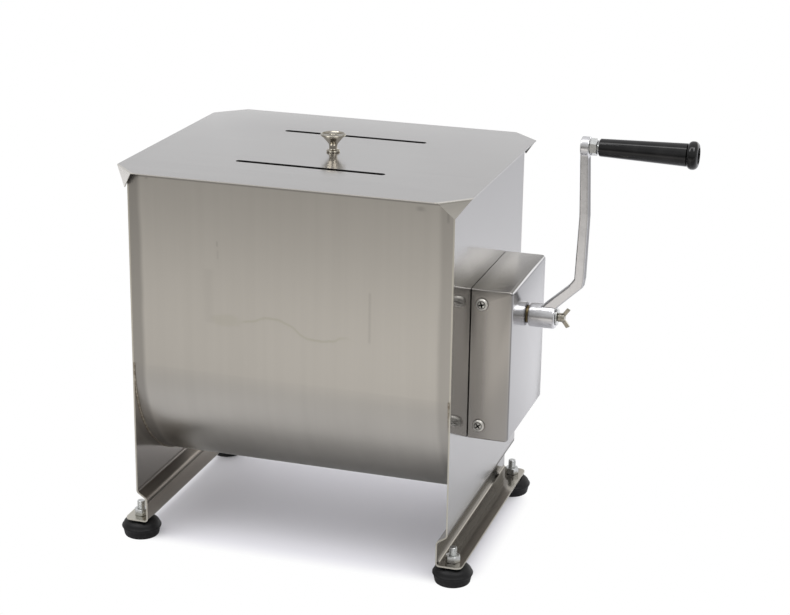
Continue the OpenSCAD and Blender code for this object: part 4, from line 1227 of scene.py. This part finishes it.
# Studio: a white paper floor that fades into a white ground, and two soft lamps above it.
# In the steel the floor shows painted shade, darker in front of the tank, and a painted shadow under it,
# and the room holds a white card at the right, a bright horizon behind and a strip light overhead.
floor_white = (0.92, 0.915, 0.955, 1)
floor_start = -1.7
floor_length = 3.4
floor_shades = [(0, 0.36), (0.14, 0.43), (0.25, 0.68), (0.31, 0.62), (0.37, 0.48), (0.43, 0.54),
                (0.46, 0.56), (0.5, 0.72), (0.6, 0.79), (0.74, 0.77), (0.82, 0.70), (1, 0.66)]
shadow_half_x = 0.15
shadow_half_y = 0.085
shadow_fade_x = 0.06
shadow_fade_y = 0.062
deselect()
bpy.ops.mesh.primitive_plane_add(size=16, location=(0, 0, 0))
floor = bpy.context.object
floor.name = "floor"


def grey(level):
    return (level, level, level, 1)


def floor_coat(point):
    """White paper that keeps the shadow under the object, and mirrors in steel as a shaded floor."""
    x, y = point.axes()[:2]
    beside = (abs(x - tank_x) - shadow_half_x).larger(0) / shadow_fade_x
    before = (abs(y) - shadow_half_y).larger(0) / shadow_fade_y
    far = (beside * beside + before * before).ramp(0.04, 0.62) * 0.96 + 0.04
    seen = point.node("LightPath", out="Is Camera Ray")
    mirrored = point.node("LightPath", out="Is Glossy Ray")
    along = (y - floor_start) / floor_length
    shade = point.node("FloatCurve", {"points": floor_shades}, {"Value": along})
    # A painted shadow under the tank, seen only in the steel.
    under = abs(x - tank_x).ramp(0.17, 0.13) * abs(y).ramp(0.2, 0.1)
    right = x.ramp(0.1, 0.35) * y.ramp(0, -0.2)
    left = x.ramp(-0.2, -0.42) * y.ramp(0, -0.2)
    shade = shade * (1 - under * 0.4) * (1 - right * 0.3) * (1 - left * 0.1)
    warm = y.ramp(0.1, -0.8)
    shown = point.node("CombineColor", values={
        "Red": shade, "Green": shade * (1 - warm * 0.035), "Blue": shade * (1 - warm * 0.11)})
    lit = point.node("BsdfDiffuse", values={"Color": mirrored.mix(floor_white, shown)})
    white = point.node("Emission", values={"Color": grey(1), "Strength": 1.0})
    return point.node("MixShader", values={0: far * seen, 1: lit, 2: white})


floor.data.materials.append(finish("floor_paper", floor_coat))


def soft_lamp(name, place, aim, size, power):
    """A square soft lamp that points at a spot."""
    lamp = bpy.data.objects.new(name, bpy.data.lights.new(name, "AREA"))
    bpy.context.scene.collection.objects.link(lamp)
    lamp.data.size = size
    lamp.data.energy = power
    lamp.location = place
    lamp.rotation_euler = (Vector(aim) - Vector(place)).to_track_quat("-Z", "Y").to_euler()


lamp_aim = (0, 0, 0.2)
lamp_size = 0.8
soft_lamp("lamp_left", (-0.9, -0.7, 1.8), lamp_aim, lamp_size, 8)
soft_lamp("lamp_right", (0.9, -0.6, 1.8), lamp_aim, lamp_size, 6)

room_shades = (0.34, 0.335, 0.32, 1), (0.52, 0.52, 0.515, 1)
wall_behind = (0.68, 0.68, 0.69, 1)
wall_right = (0.52, 0.51, 0.47, 1)
ceiling = (0.8, 0.8, 0.81, 1)
daylight = (1.04, 1.04, 1.08, 1)
horizon = grey(1.5)
white_card = grey(2)
strip_light = grey(3.6)
world = bpy.data.worlds.new("studio")
bpy.context.scene.world = world
world.use_nodes = True
world.node_tree.nodes.clear()
air = Wire(world.node_tree)
east, north, up = air.node("TexCoord", out="Generated").axes()
behind = north.ramp(0.2, 0.6)
glow = up.ramp(0.1, 0.3).mix(*room_shades)
glow = north.ramp(-0.4, 0.6).mix(glow, wall_behind)
glow = (east.ramp(0.02, 0.2) * behind).mix(glow, wall_right)
glow = (abs(up).ramp(0.12, 0.04) * behind).mix(glow, horizon)
card = east.ramp(0.14, 0.22) * north.ramp(0.6, 0.8) * up.ramp(0.04, 0.1) * up.ramp(0.36, 0.28)
glow = card.mix(glow, white_card)
glow = up.ramp(0.5, 0.9).mix(glow, ceiling)
strip = abs(north + 0.21).ramp(0.12, 0.07) * up.ramp(0.8, 0.88)
glow = strip.mix(glow, strip_light)
glow = air.node("LightPath", out="Is Diffuse Ray").mix(glow, daylight)
ground = air.node("LightPath", out="Is Camera Ray").mix(glow, grey(1))
backdrop = air.node("Background", values={"Color": ground, "Strength": 1.0})
air.node("OutputWorld", values={"Surface": backdrop})

# Camera: as the photograph was taken, from the front and a little to the right, looking down.
camera = bpy.data.objects.new("camera", bpy.data.cameras.new("camera"))
bpy.context.scene.collection.objects.link(camera)
camera.location = (0.54442, -1.80560, 0.87006)
camera.rotation_euler = [math.radians(angle) for angle in (71.5508, -0.8044, 17.6820)]
camera.data.lens = 88.62
camera.data.sensor_width = 36
bpy.context.scene.camera = camera
bpy.context.scene.view_settings.view_transform = "Standard"
